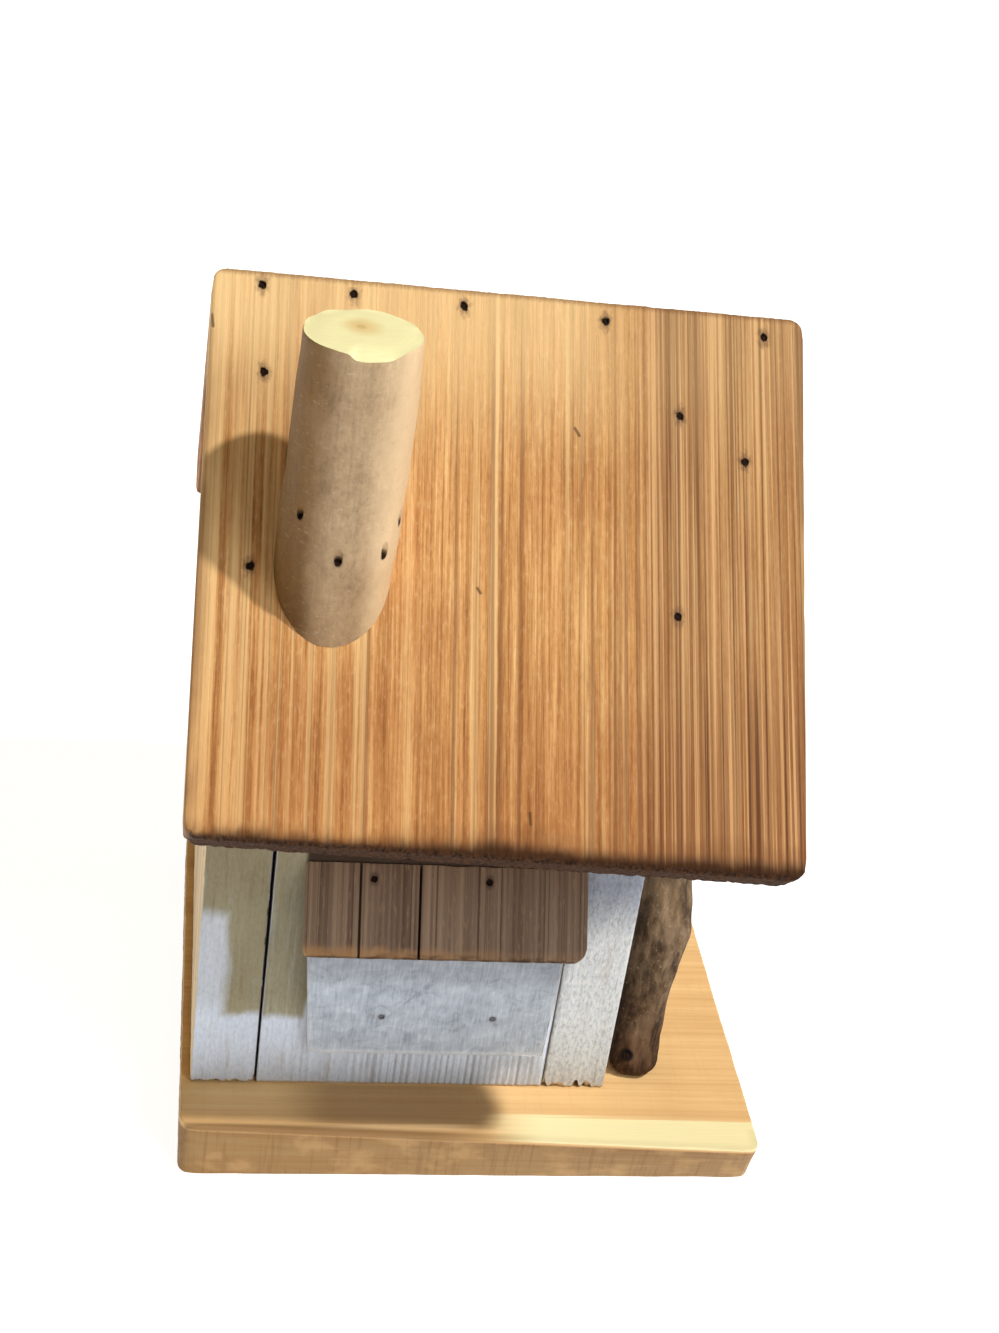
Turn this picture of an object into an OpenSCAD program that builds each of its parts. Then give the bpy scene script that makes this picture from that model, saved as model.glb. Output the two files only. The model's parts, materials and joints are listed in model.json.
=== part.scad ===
// Rustic birdhouse nailed together from boards and two branches.
// A gable-roofed nest box stands at the left of a wide base board. The roof overhangs to the right, where a
// bark-covered branch props it. Millimetres, +Z up, the front faces -Y, and the origin is the centre of the
// base board's underside.

/* [Base board] */
// Width of the base board, left to right
base_w = 210; // [206:1:230]
// Depth of the base board, front to back
base_d = 184; // [182:1:210]
// Thickness of the base board
base_t = 19; // [17:1:22]
// How far the front edge's top arris leans back at the left end
base_lean_left = 5; // [0:0.5:6]
// How far the front edge's top arris leans out at the right end
base_lean_right = 5.4; // [0:0.2:6]
// Radius of the base board's corners
base_corner_r = 5; // [3:0.5:8]

/* [Walls] */
// Width of the house across its two side walls
house_w = 152.8; // [150:0.2:156]
// Depth of the house from front face to rear face
house_d = 145.8; // [142:0.2:150]
// Height of the walls at the eaves, above the base board
wall_h = 185.9; // [180:0.1:192]
// Distance from the base board's left end to the left wall
house_left = 3.2; // [2:0.2:6]
// Distance from the base board's front edge to the house
house_setback = 26.6; // [24:0.2:28]
// Thickness of the two side walls
side_t = 23.5; // [21:0.5:24]
// Thickness of the front and rear walls
end_t = 19; // [17:1:21]
// Diameter of the entrance hole
entrance_d = 29; // [26:1:29]
// Height of the entrance hole's centre above the base board
entrance_h = 119.5; // [119:0.5:120]
// Diameter of the clean-out hole in the rear wall
cleanout_d = 60; // [50:1:62]
// Height of the clean-out hole's centre above the base board
cleanout_h = 51; // [48:1:53]

/* [Roof] */
// Thickness of the roof boards
roof_t = 16; // [15:0.5:18]
// Width of the roof boards, along the ridge
roof_w = 196; // [192:1:200]
// Left end of the roof, measured out from the left wall
roof_left = 7.1; // [5:0.1:10]
// Slope length of the front roof board at its left edge
front_roof_left_l = 184.5; // [180:0.5:190]
// Slope length of the front roof board at its right edge
front_roof_right_l = 189; // [182:0.5:192]
// Twist of the front roof board on the walls, in degrees
front_roof_twist = -0.76; // [-0.9:0.02:0]
// Slope length of the rear roof board
rear_roof_l = 171; // [165:1:178]
// Radius of the roof boards' corners
roof_corner_r = 5; // [3:0.5:8]

/* [Chimney and post] */
// Distance from the left wall to the chimney's axis
chimney_x = 34.8; // [34:0.2:38]
// Distance from the front wall's face back to the chimney's axis
chimney_y = 4; // [2:0.5:8]
// Height of the chimney's top above the base board
chimney_top = 292; // [285:1:296]
// Radius of the chimney branch
chimney_r = 18; // [16.5:0.5:18.5]
// Radius of the porch post branch
post_r = 9.8; // [9:0.2:10.4]
// Distance from the right wall to the post's axis at its foot
post_gap = 12.7; // [12.5:0.1:14]

/* [Door panel and awning] */
// Width of the awning
awning_w = 97.5; // [90:0.5:100]
// Slope length of the awning before its top is cut to the wall
awning_l = 40; // [36:1:44]
// Thickness of the awning
awning_t = 7; // [6:0.5:7.5]
// Slope of the awning, in degrees
awning_pitch = 50; // [48:1:52]
// Height of the awning's lower front edge above the base board
awning_h = 76.5; // [75.5:0.5:77]
// How far the awning's lower front edge stands out from the wall
awning_reach = 21; // [20:0.5:22]
// Width of the tapered door panel at its foot
panel_foot_w = 86; // [84:1:88]
// Width of the tapered door panel at its head
panel_head_w = 91; // [89:1:92]
// Thickness of the door panel at its foot
panel_foot_t = 1.8; // [1.6:0.1:2.2]
// Thickness of the door panel at its head
panel_head_t = 9.5; // [8:0.5:10]

/* [Clean-out cover] */
// Width of the cover
cover_w = 84; // [80:1:86]
// Height of the cover
cover_h = 100; // [98:1:101]
// Thickness of the cover
cover_t = 12; // [10:1:13]
// Distance from the cover's top edge to its pivot screw
cover_pivot_drop = 12; // [11:1:14]
// Height of the cover's pivot screw above the centre of the clean-out hole
cover_pivot_up = 48; // [47:0.5:49]
// Radius of the pivot screw's shank
screw_r = 2.1; // [1.8:0.1:2.4]

/* [Hidden] */
$fn = 48;

// The butted ridge needs two slopes at right angles.
pitch = 45;
// A cutter reaches this far past the face that it cuts.
past = 1;
// A cutter for half of space.
far = 600;
// Gap between faces that pass each other.
gap = 0.4;

// House
house_x0 = -base_w / 2 + house_left;
house_x1 = house_x0 + house_w;
house_y0 = -base_d / 2 + house_setback;
house_y1 = house_y0 + house_d;
house_x = (house_x0 + house_x1) / 2;
cavity_x0 = house_x0 + side_t;
cavity_x1 = house_x1 - side_t;
eave_z = base_t + wall_h;
ridge_y = (house_y0 + house_y1) / 2;
apex_z = eave_z + (house_d / 2) * tan(pitch);
// The end walls are sawn square, just short of the roof board.
end_wall_h = wall_h - 0.5;

// Entrance and clean-out
entrance_z = base_t + entrance_h;
cleanout_z = base_t + cleanout_h;
cover_pivot_z = cleanout_z + cover_pivot_up;
cover_y = house_y1 + gap;
cover_corner_r = 8;
cover_bore_r = screw_r + 0.05;
washer_r = 6;
washer_t = 1.2;
washer_y = cover_y + cover_t + 0.3;
screw_l = 30;
screw_head_r = 4;
screw_head_h = 2.6;
screw_slot_w = 1;
screw_slot_depth = 1.2;

// Nails: small round heads, set just below the surface
nail_r = 0.9;
nail_head_r = 1.5;
nail_head_h = 1.2;
nail_point_h = 3;
nail_tip_r = 0.2;
nail_set = 0.4;
nail_play = 0.03;
long_nail = 45;
post_nail = 36;
short_nail = 25;
panel_nail = 19;
toe_nail = 34;

// Nail places. Roof places are [x, distance up the slope from the ridge line of the walls].
ridge_nail_xs = [-93, -63.5, -27.5, 19.5, 73.5];
front_roof_nail_places = [[-91.4, -18.2], [-93.4, -82.3], [44.4, -23.2], [43, -91.3]];
rear_roof_nail_places = [[-90, -40], [-90, -86], [39, -40], [39, -86]];
post_top_nail_place = [66.1, -37.6];
// Nails driven down at a slant through a branch's side are [angle round the branch, height].
chimney_nail_places = [[-135, 256], [-93, 244], [-45, 244.5], [-23, 253]];
chimney_nail_dip = 60;
chimney_nail_skew = 10;
post_foot_nail_place = [-117, base_t + 11];
post_foot_nail_dip = 50;
awning_nail_xs = [-44.1, -4.4];
awning_nail_up = 27;
panel_nail_xs = [-35.8, 4.2];
panel_nail_z = base_t + 36;
side_nail_zs = [base_t + 41, base_t + 96, base_t + 151];
end_wall_nail_xs = [-60, 8];
side_wall_nail_ys = [-40, 55];

// Door panel
panel_z0 = base_t + 16.5;
panel_z1 = base_t + 78.6;
panel_x1 = house_x1 - side_t - 2.2;
panel_corner_r = 4;

// Awning
awning_x0 = cavity_x0 + 11.1;
awning_corner_rs = [2, 6, 1, 1];

// The chimney at [depth below its top, sideways shift, extra radius]. The roof cuts it off at a slant.
chimney_axis = [house_x0 + chimney_x, house_y0 + chimney_y];
chimney_shape = [
    [107, -1, -0.1], [81, -1, 0.2], [61, 0, 0.8], [41, 1, 0.5], [21, 1.4, 0.4], [0, 1.7, -0.2]
];
chimney_rings = [
    for (q = chimney_shape)
        [chimney_axis.x + q[1], chimney_axis.y, base_t + chimney_top - q[0], chimney_r + q[2]]
];

// The porch post at [height above the base board, sideways shift, extra radius]. It leans back as it
// rises, and swells at a knot a quarter of the way up.
post_foot = [house_x1 + post_gap, house_y0 + 12.9];
post_lean = 0.185;
post_shape = [
    [0, 0, -0.9], [3, 0.2, 0], [9, 0.2, 0.1], [15, 0, -0.3], [33, 0.7, 0.2], [43, 2, 0.7],
    [56, 3.2, 1.5], [68, 2.9, 1.1], [82, 2.4, 0.4], [130, 2.3, 0], [190, 2.4, -0.2], [262, 2.4, -0.4]
];
post_rings = [
    for (q = post_shape)
        [post_foot.x + q[1], post_foot.y + post_lean * q[0], base_t + q[0], post_r + q[2]]
];

// ---- Outlines and solids ----

function unit(v) = v / norm(v);
function heading(v) = atan2(v.y, v.x);
function wrapped(a) = a > 180 ? a - 360 : a < -180 ? a + 360 : a;

// The arc of n steps that rounds corner b, on the way from a to c.
function corner_arc(a, b, c, r, n) =
    let (
        to_a = unit(a - b),
        to_c = unit(c - b),
        half = acos(to_a * to_c) / 2,
        centre = b + unit(to_a + to_c) * r / sin(half),
        from = heading(b + to_a * r / tan(half) - centre),
        sweep = wrapped(heading(b + to_c * r / tan(half) - centre) - from)
    )
    [for (i = [0 : n]) centre + r * [cos(from + sweep * i / n), sin(from + sweep * i / n)]];

// A polygon with every corner rounded. r is one radius, or one for each corner.
function rounded(p, r, n = 5) = [
    for (i = [0 : len(p) - 1])
        each corner_arc(p[(i + len(p) - 1) % len(p)], p[i], p[(i + 1) % len(p)], is_list(r) ? r[i] : r, n)
];

// Side faces between two rings of n points that start at index k and k + n.
function ring_faces(k, n) = [
    for (i = [0 : n - 1])
        each [[k + i, k + n + i, k + n + (i + 1) % n], [k + i, k + n + (i + 1) % n, k + (i + 1) % n]]
];

// A closed solid through a list of rings, each a list of n points, lowest ring first.
module skin(rings) {
    n = len(rings[0]);
    last = (len(rings) - 1) * n;
    polyhedron(
        points = [for (ring = rings) each ring],
        faces = [
            [for (i = [0 : n - 1]) i],
            [for (i = [n - 1 : -1 : 0]) last + i],
            for (j = [0 : len(rings) - 2]) each ring_faces(j * n, n)
        ]
    );
}

// A branch through rings of [x, y, z, radius].
module branch(rings, sides = 20) {
    turn = 360 / sides;
    skin([
        for (q = rings)
            [for (i = [0 : sides - 1]) [q.x, q.y, q.z] + q[3] * [cos(turn * i), sin(turn * i), 0]]
    ]);
}

// A frame on each roof slope: X along the ridge, Y up the slope, Z out of the roof. Its origin is on the
// walls' apex, so the underside of the roof boards is Z = 0.
module on_front_slope() {
    translate([0, ridge_y, apex_z]) rotate([pitch, 0, 0]) children();
}

module on_rear_slope() {
    translate([0, ridge_y, apex_z]) mirror([0, 1, 0]) rotate([pitch, 0, 0]) children();
}

// Half of space above or below a height in the frame it is placed in.
module above(z) {
    translate([-far / 2, -far / 2, z]) cube(far);
}

module below(z) {
    translate([-far / 2, -far / 2, z - far]) cube(far);
}

// A nail driven down -Z from the surface at Z = 0, with its head set below it.
module nail(length) {
    translate([0, 0, -nail_set]) {
        translate([0, 0, -nail_head_h]) cylinder(h = nail_head_h, r = nail_head_r, $fn = 24);
        translate([0, 0, nail_point_h - length]) {
            cylinder(h = length - nail_point_h - nail_head_h, r = nail_r, $fn = 24);
        }
        translate([0, 0, -length]) cylinder(h = nail_point_h, r1 = nail_tip_r, r2 = nail_r, $fn = 24);
    }
}

// The hole that a nail leaves, open for `mouth` above the surface.
module nail_hole(length, mouth = 2) {
    shoulder = nail_set + nail_head_h;
    translate([0, 0, -shoulder]) cylinder(h = shoulder + mouth, r = nail_head_r + nail_play, $fn = 24);
    translate([0, 0, -nail_set - length]) cylinder(h = length, r = nail_r + nail_play, $fn = 24);
}

// ---- Where each group of fasteners goes. The children are one fastener, or its hole. ----

module at_ridge_nails() {
    // The row runs a little out of line with the ridge.
    for (x = ridge_nail_xs) {
        on_front_slope() translate([x, 8.6 - 0.03 * x, roof_t]) children();
    }
}

module at_front_roof_nails() {
    for (p = front_roof_nail_places) {
        on_front_slope() translate([p.x, p.y, roof_t]) children();
    }
}

module at_rear_roof_nails() {
    for (p = rear_roof_nail_places) {
        on_rear_slope() translate([p.x, p.y, roof_t]) children();
    }
}

module at_post_top_nail() {
    on_front_slope() translate([post_top_nail_place.x, post_top_nail_place.y, roof_t]) children();
}

// On a branch's side: a nail head at an angle and height, driven inwards at a dip below the horizontal, and
// turned by a skew so that neighbouring nails pass each other.
module at_branch_side(axis, r, place, dip, skew) {
    translate([axis.x, axis.y, 0])
        rotate([0, 0, place[0]])
        translate([r, 0, place[1]])
        rotate([0, 0, skew])
        rotate([0, 90 - dip, 0])
        children();
}

module at_post_foot_nail() {
    foot = post_foot + [0, post_lean * (post_foot_nail_place[1] - base_t)];
    at_branch_side(foot, post_r + 0.2, post_foot_nail_place, post_foot_nail_dip, 0) children();
}

module at_chimney_nails() {
    for (p = chimney_nail_places) {
        at_branch_side(chimney_axis, chimney_r + 0.3, p, chimney_nail_dip, chimney_nail_skew) children();
    }
}

module at_awning_nails() {
    for (x = awning_nail_xs) {
        on_awning() translate([x, awning_nail_up, 0]) children();
    }
}

module at_door_panel_nails() {
    rise = panel_nail_z - panel_z0;
    face = panel_foot_t + (panel_head_t - panel_foot_t) * rise / (panel_z1 - panel_z0);
    for (x = panel_nail_xs) {
        translate([x, house_y0 - face, panel_nail_z]) rotate([90, 0, 0]) children();
    }
}

// Nails through a side wall into the edges of the end walls. side is -1 for the left wall, 1 for the right.
module at_side_nails(side) {
    for (y = [house_y0 + end_t / 2, house_y1 - end_t / 2], z = side_nail_zs) {
        translate([side < 0 ? house_x0 : house_x1, y, z]) rotate([0, 90 * side, 0]) children();
    }
}

module at_base_nails() {
    for (x = [house_x0 + side_t / 2, house_x1 - side_t / 2], y = side_wall_nail_ys) {
        translate([x, y, 0]) rotate([180, 0, 0]) children();
    }
    for (x = end_wall_nail_xs, y = [house_y0 + end_t / 2, house_y1 - end_t / 2]) {
        translate([x, y, 0]) rotate([180, 0, 0]) children();
    }
}

// ---- Boards ----

// Outline of the base board's underside or top, with its front corners moved by the given leans. The front
// edge is split into steps, so that the face between the two outlines twists evenly.
function base_outline(left, right, n = 5, steps = 12) =
    let (
        outline = rounded(
            [
                [-base_w / 2, -base_d / 2 + left],
                [base_w / 2, -base_d / 2 - right],
                [base_w / 2, base_d / 2],
                [-base_w / 2, base_d / 2]
            ],
            base_corner_r,
            n
        ),
        from = outline[n],
        to = outline[n + 1]
    )
    [
        for (i = [0 : n]) outline[i],
        for (i = [1 : steps - 1]) from + (to - from) * i / steps,
        for (i = [n + 1 : len(outline) - 1]) outline[i]
    ];

module base_board() {
    color("#dcb178")
    difference() {
        skin([
            [for (p = base_outline(0, 0)) [p.x, p.y, 0]],
            [for (p = base_outline(base_lean_left, base_lean_right)) [p.x, p.y, base_t]]
        ]);
        at_base_nails() nail_hole(long_nail);
        at_post_foot_nail() nail_hole(toe_nail);
    }
}

// A gable wall whose left face is at x. Its top follows both roof slopes.
module gable_wall(x) {
    translate([x, 0, 0]) rotate([90, 0, 90]) linear_extrude(side_t) polygon([
        [house_y0, base_t],
        [house_y1, base_t],
        [house_y1, eave_z],
        [ridge_y, apex_z],
        [house_y0, eave_z]
    ]);
}

module side_wall(x, side) {
    color("#d5d8dc")
    difference() {
        gable_wall(x);
        at_front_roof_nails() nail_hole(long_nail);
        at_rear_roof_nails() nail_hole(long_nail);
        at_side_nails(side) nail_hole(long_nail);
        at_base_nails() nail_hole(long_nail);
    }
}

module left_wall() {
    side_wall(house_x0, -1);
}

module right_wall() {
    side_wall(house_x1 - side_t, 1);
}

// An end wall board whose front face is at y.
module end_wall(y) {
    translate([cavity_x0, y, base_t]) cube([cavity_x1 - cavity_x0, end_t, end_wall_h]);
}

// A round hole straight through an end wall whose front face is at y.
module wall_hole(y, z, d) {
    translate([house_x, y - past, z]) rotate([-90, 0, 0]) cylinder(h = end_t + 2 * past, d = d);
}

module front_wall() {
    color("#ccd2da")
    difference() {
        end_wall(house_y0);
        wall_hole(house_y0, entrance_z, entrance_d);
        at_side_nails(-1) nail_hole(long_nail);
        at_side_nails(1) nail_hole(long_nail);
        at_base_nails() nail_hole(long_nail);
        at_awning_nails() nail_hole(short_nail);
        at_door_panel_nails() nail_hole(panel_nail);
    }
}

module rear_wall() {
    color("#ccd2da")
    difference() {
        end_wall(house_y1 - end_t);
        wall_hole(house_y1 - end_t, cleanout_z, cleanout_d);
        at_side_nails(-1) nail_hole(long_nail);
        at_side_nails(1) nail_hole(long_nail);
        at_base_nails() nail_hole(long_nail);
        at_cover_pivot() translate([0, 0, -screw_l]) cylinder(h = screw_l, r = screw_r + nail_play);
    }
}

// ---- Roof ----

// The front board laps over the rear board's top end, and its eave is sawn a little out of square.
module front_roof_board() {
    color("#cd9960")
    difference() {
        on_front_slope() translate([house_x0 - roof_left, roof_t + 0.6, 0]) rotate([0, 0, front_roof_twist])
            linear_extrude(roof_t) polygon(rounded(
                [[0.9, -front_roof_left_l], [roof_w - 0.6, -front_roof_right_l], [roof_w + 0.5, 0], [0, 0]],
                roof_corner_r
            ));
        at_ridge_nails() nail_hole(long_nail);
        at_front_roof_nails() nail_hole(long_nail);
        at_post_top_nail() nail_hole(post_nail);
        at_chimney_nails() nail_hole(toe_nail);
    }
}

module rear_roof_board() {
    color("#cd9960")
    difference() {
        on_rear_slope() translate([house_x0 - roof_left, -rear_roof_l, 0])
            linear_extrude(roof_t) polygon(rounded(
                [[0, 0], [roof_w, 0], [roof_w, rear_roof_l], [0, rear_roof_l]],
                [roof_corner_r, roof_corner_r, 1, 1]
            ));
        at_ridge_nails() nail_hole(long_nail);
        at_rear_roof_nails() nail_hole(long_nail);
    }
}

// ---- Branches ----

module chimney() {
    color("#b8a98f")
    difference() {
        branch(chimney_rings, 24);
        on_front_slope() below(roof_t);
        at_chimney_nails() nail_hole(toe_nail, 8);
    }
}

module porch_post() {
    color("#5d4630")
    difference() {
        branch(post_rings);
        on_front_slope() above(0);
        at_post_top_nail() nail_hole(post_nail);
        at_post_foot_nail() nail_hole(toe_nail, 8);
    }
}

// ---- Door panel and awning ----

// A frame on the awning's upper face: X is world X, Y runs up the face from its lower edge, Z out of it.
module on_awning() {
    translate([0, house_y0 - awning_reach, base_t + awning_h]) rotate([awning_pitch, 0, 0]) children();
}

module awning() {
    color("#7d6248")
    difference() {
        on_awning() translate([awning_x0, 0, -awning_t]) linear_extrude(awning_t) polygon(rounded(
            [[0, 0], [awning_w, 0], [awning_w, awning_l], [0, awning_l]],
            awning_corner_rs
        ));
        translate([-far / 2, house_y0, -far / 2]) cube(far);
        at_awning_nails() nail_hole(short_nail);
    }
}

// A tapered shingle, thick end up. Its left edge slants in towards the foot.
module door_panel() {
    color("#c9d3df")
    difference() {
        intersection() {
            translate([-far / 2, 0, 0]) rotate([90, 0, 90]) linear_extrude(far) polygon([
                [house_y0, panel_z0],
                [house_y0, panel_z1],
                [house_y0 - panel_head_t, panel_z1],
                [house_y0 - panel_foot_t, panel_z0]
            ]);
            translate([0, house_y0 + past, 0]) rotate([90, 0, 0]) linear_extrude(panel_head_t + 2 * past)
                polygon(rounded(
                    [
                        [panel_x1 - panel_foot_w, panel_z0],
                        [panel_x1, panel_z0],
                        [panel_x1, panel_z1],
                        [panel_x1 - panel_head_w, panel_z1]
                    ],
                    [panel_corner_r, 1, 0.5, 0.5]
                ));
        }
        at_door_panel_nails() nail_hole(panel_nail);
    }
}

// ---- Clean-out cover, hung on one screw so that it closes by its own weight ----

// A frame at the pivot on the rear face: Z points out of the wall.
module at_cover_pivot() {
    translate([house_x, house_y1, cover_pivot_z]) rotate([-90, 0, 0]) children();
}

module cleanout_cover() {
    top = cover_pivot_z + cover_pivot_drop;
    color("#d8c29a")
    difference() {
        translate([house_x, cover_y + cover_t, 0]) rotate([90, 0, 0]) linear_extrude(cover_t) polygon(rounded(
            [
                [-cover_w / 2, top - cover_h],
                [cover_w / 2, top - cover_h],
                [cover_w / 2, top],
                [-cover_w / 2, top]
            ],
            cover_corner_r
        ));
        at_cover_pivot() cylinder(h = cover_t + 2, r = cover_bore_r);
    }
}

module cover_washer() {
    color("#b9bcc0")
    difference() {
        at_cover_pivot() translate([0, 0, washer_y - house_y1]) cylinder(h = washer_t, r = washer_r);
        at_cover_pivot() cylinder(h = far, r = screw_r + 0.2);
    }
}

// A round-head wood screw: shank, point, domed head and slot.
module cover_screw() {
    head_y = washer_y + washer_t - house_y1;
    dome_r = (screw_head_r * screw_head_r + screw_head_h * screw_head_h) / (2 * screw_head_h);
    color("#a9a18c")
    at_cover_pivot() difference() {
        union() {
            translate([0, 0, head_y - screw_l + 5]) cylinder(h = screw_l - 5 + 0.1, r = screw_r);
            translate([0, 0, head_y - screw_l]) cylinder(h = 5, r1 = 0.3, r2 = screw_r);
            intersection() {
                translate([0, 0, head_y + screw_head_h - dome_r]) sphere(r = dome_r);
                translate([0, 0, head_y]) cylinder(h = screw_head_h, r = screw_head_r + past);
            }
        }
        translate([-far / 2, -screw_slot_w / 2, head_y + screw_head_h - screw_slot_depth])
            cube([far, screw_slot_w, screw_head_h]);
    }
}

// ---- Fasteners ----

module steel() {
    color("#57504a") children();
}

module ridge_nails() {
    steel() at_ridge_nails() nail(long_nail);
}

module front_roof_nails() {
    steel() at_front_roof_nails() nail(long_nail);
}

module rear_roof_nails() {
    steel() at_rear_roof_nails() nail(long_nail);
}

module post_top_nail() {
    steel() at_post_top_nail() nail(post_nail);
}

module post_foot_nail() {
    steel() at_post_foot_nail() nail(toe_nail);
}

module chimney_nails() {
    steel() at_chimney_nails() nail(toe_nail);
}

module awning_nails() {
    steel() at_awning_nails() nail(short_nail);
}

module door_panel_nails() {
    steel() at_door_panel_nails() nail(panel_nail);
}

module left_wall_nails() {
    steel() at_side_nails(-1) nail(long_nail);
}

module right_wall_nails() {
    steel() at_side_nails(1) nail(long_nail);
}

module base_nails() {
    steel() at_base_nails() nail(long_nail);
}

base_board();
left_wall();
right_wall();
front_wall();
rear_wall();
front_roof_board();
rear_roof_board();
chimney();
porch_post();
door_panel();
awning();
cleanout_cover();
cover_screw();
cover_washer();
ridge_nails();
front_roof_nails();
rear_roof_nails();
post_top_nail();
post_foot_nail();
chimney_nails();
awning_nails();
door_panel_nails();
left_wall_nails();
right_wall_nails();
base_nails();
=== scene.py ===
"""The looks of the birdhouse: weathered boards, whitewash, two branches and their nails.

Every board is a dense closed mesh with worn arrises and raised grain, in the place of its CAD solid. Shapes
are worked out in millimetres in the board's own frame, and turned into metres when the mesh is made.
"""

import json
import math

import bpy
from mathutils import Matrix, Vector, noise
from mathutils.geometry import convex_hull_2d


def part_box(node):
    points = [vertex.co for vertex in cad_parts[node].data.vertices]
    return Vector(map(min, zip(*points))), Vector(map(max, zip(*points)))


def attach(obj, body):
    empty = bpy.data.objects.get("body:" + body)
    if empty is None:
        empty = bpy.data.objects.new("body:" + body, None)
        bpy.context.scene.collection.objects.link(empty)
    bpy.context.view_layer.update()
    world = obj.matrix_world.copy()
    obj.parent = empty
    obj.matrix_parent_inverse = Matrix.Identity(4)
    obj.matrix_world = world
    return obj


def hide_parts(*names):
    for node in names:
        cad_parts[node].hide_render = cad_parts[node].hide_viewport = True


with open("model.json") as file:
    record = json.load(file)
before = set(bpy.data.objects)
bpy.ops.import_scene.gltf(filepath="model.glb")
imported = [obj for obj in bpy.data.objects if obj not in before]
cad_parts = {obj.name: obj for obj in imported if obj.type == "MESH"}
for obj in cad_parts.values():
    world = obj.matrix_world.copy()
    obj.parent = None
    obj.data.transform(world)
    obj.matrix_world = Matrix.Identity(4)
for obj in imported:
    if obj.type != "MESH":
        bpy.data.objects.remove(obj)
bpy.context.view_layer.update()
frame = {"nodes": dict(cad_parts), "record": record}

MM = 0.001
PAINTED, BARE, OUTER = 0, 1, 2
SKIN, SAWN = 0, 1


# ---- Measuring the frame ----

def box_mm(node):
    """Lowest and highest corners of a CAD node, in millimetres."""
    low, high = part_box(node)
    return low / MM, high / MM


def points_in(node, place):
    """The vertices of a CAD node in the frame of a placing matrix, in millimetres."""
    inverse = place.inverted()
    return [inverse @ v.co / MM for v in frame["nodes"][node].data.vertices]


def line_meeting(a, b, c, d):
    """Where the line through a and b meets the line through c and d."""
    along, across = b - a, d - c
    return a + along * ((c - a).cross(across) / along.cross(across))


def outline_corners(points):
    """The four corners that a rounded four-sided outline would have if it were sharp, counterclockwise."""
    flat = [Vector(spot) for spot in sorted({(round(p.x, 2), round(p.y, 2)) for p in points})]
    hull = [flat[i] for i in convex_hull_2d(flat)]
    kept = []
    for before, here, after in zip(hull[-1:] + hull[:-1], hull, hull[1:] + hull[:1]):
        if (here - before).length > 0.05 and abs((here - before).angle_signed(after - here, 0)) > 0.02:
            kept.append(here)
    sides = list(zip(kept, kept[1:] + kept[:1]))
    sides = sorted(sorted(sides, key=lambda s: -(s[1] - s[0]).length)[:4], key=sides.index)
    corners = [line_meeting(*one, *two) for one, two in zip(sides[-1:] + sides[:-1], sides)]
    middle = sum(corners, Vector((0, 0))) / 4
    return sorted(corners, key=lambda c: math.atan2(c.y - middle.y, c.x - middle.x))


def face_corners(points, height):
    """The four sharp corners of the flat face at a height."""
    found = outline_corners([p for p in points if abs(p.z - height) < 0.05])
    return [Vector((c.x, c.y, height)) for c in found]


def loose_parts(node, place):
    """The points of each separate part of a CAD node. Vertices at one place count as one."""
    spots = [tuple(round(c, 2) for c in p) for p in points_in(node, place)]
    owner = {spot: spot for spot in spots}

    def root(spot):
        while owner[spot] != spot:
            spot = owner[spot]
        return spot

    for polygon in frame["nodes"][node].data.polygons:
        first = root(spots[polygon.vertices[0]])
        for i in polygon.vertices:
            owner[root(spots[i])] = first
    parts = {}
    for spot in owner:
        parts.setdefault(root(spot), []).append(Vector(spot))
    return list(parts.values())


def nail_heads(node, place):
    """The middle of each nail's head in a CAD node, in a frame whose Z points out at the heads."""
    heads = []
    for part in loose_parts(node, place):
        tip = min(part, key=lambda p: p.z)
        reach = max((p - tip).length for p in part)
        rim = [p for p in part if (p - tip).length > reach - 0.3]
        heads.append(sum(rim, Vector()) / len(rim))
    return sorted(heads, key=tuple)


WALL_LOW, WALL_HIGH = box_mm("left_wall")
RIGHT_LOW, RIGHT_HIGH = box_mm("right_wall")
HOUSE_FRONT, HOUSE_REAR = WALL_LOW.y, WALL_HIGH.y
RIDGE_Y = (HOUSE_FRONT + HOUSE_REAR) / 2
APEX_Z = WALL_HIGH.z
PITCH = math.radians(45)
EAVE_Z = APEX_Z - (RIDGE_Y - HOUSE_FRONT) * math.tan(PITCH)
AWNING_LOW, AWNING_HIGH = box_mm("awning")
MOUNTS = {m["name"]: m for m in frame["record"]["mounts"]}
ENTRANCE = MOUNTS["entrance_hole"]


def turned(degrees, axis):
    return Matrix.Rotation(math.radians(degrees), 4, axis)


# Frames with X along the board, Y up its face and Z out of it.
APEX = Matrix.Translation(Vector((0, RIDGE_Y, APEX_Z)) * MM)
FRONT_SLOPE = APEX @ Matrix.Rotation(PITCH, 4, "X")
REAR_SLOPE = APEX @ turned(180, "Z") @ Matrix.Rotation(PITCH, 4, "X")
FRONT_FACE = Matrix.Translation(Vector((0, HOUSE_FRONT, 0)) * MM) @ turned(90, "X")
REAR_FACE = Matrix.Translation(Vector((0, HOUSE_REAR, 0)) * MM) @ turned(180, "Z") @ turned(90, "X")
LEFT_FACE = Matrix.Translation(Vector((WALL_LOW.x, 0, 0)) * MM) @ turned(-90, "Z") @ turned(90, "X")
RIGHT_FACE = Matrix.Translation(Vector((RIGHT_HIGH.x, 0, 0)) * MM) @ turned(90, "Z") @ turned(90, "X")
UNDERSIDE = turned(180, "X")
HERE = Matrix.Identity(4)


# ---- Materials ----

def linear(colour):
    """A screen colour of 0 to 255 as the linear colour that a shader takes."""
    return tuple((c / 255 / 12.92 if c <= 10 else ((c / 255 + 0.055) / 1.055) ** 2.4) for c in colour) + (1,)


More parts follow.
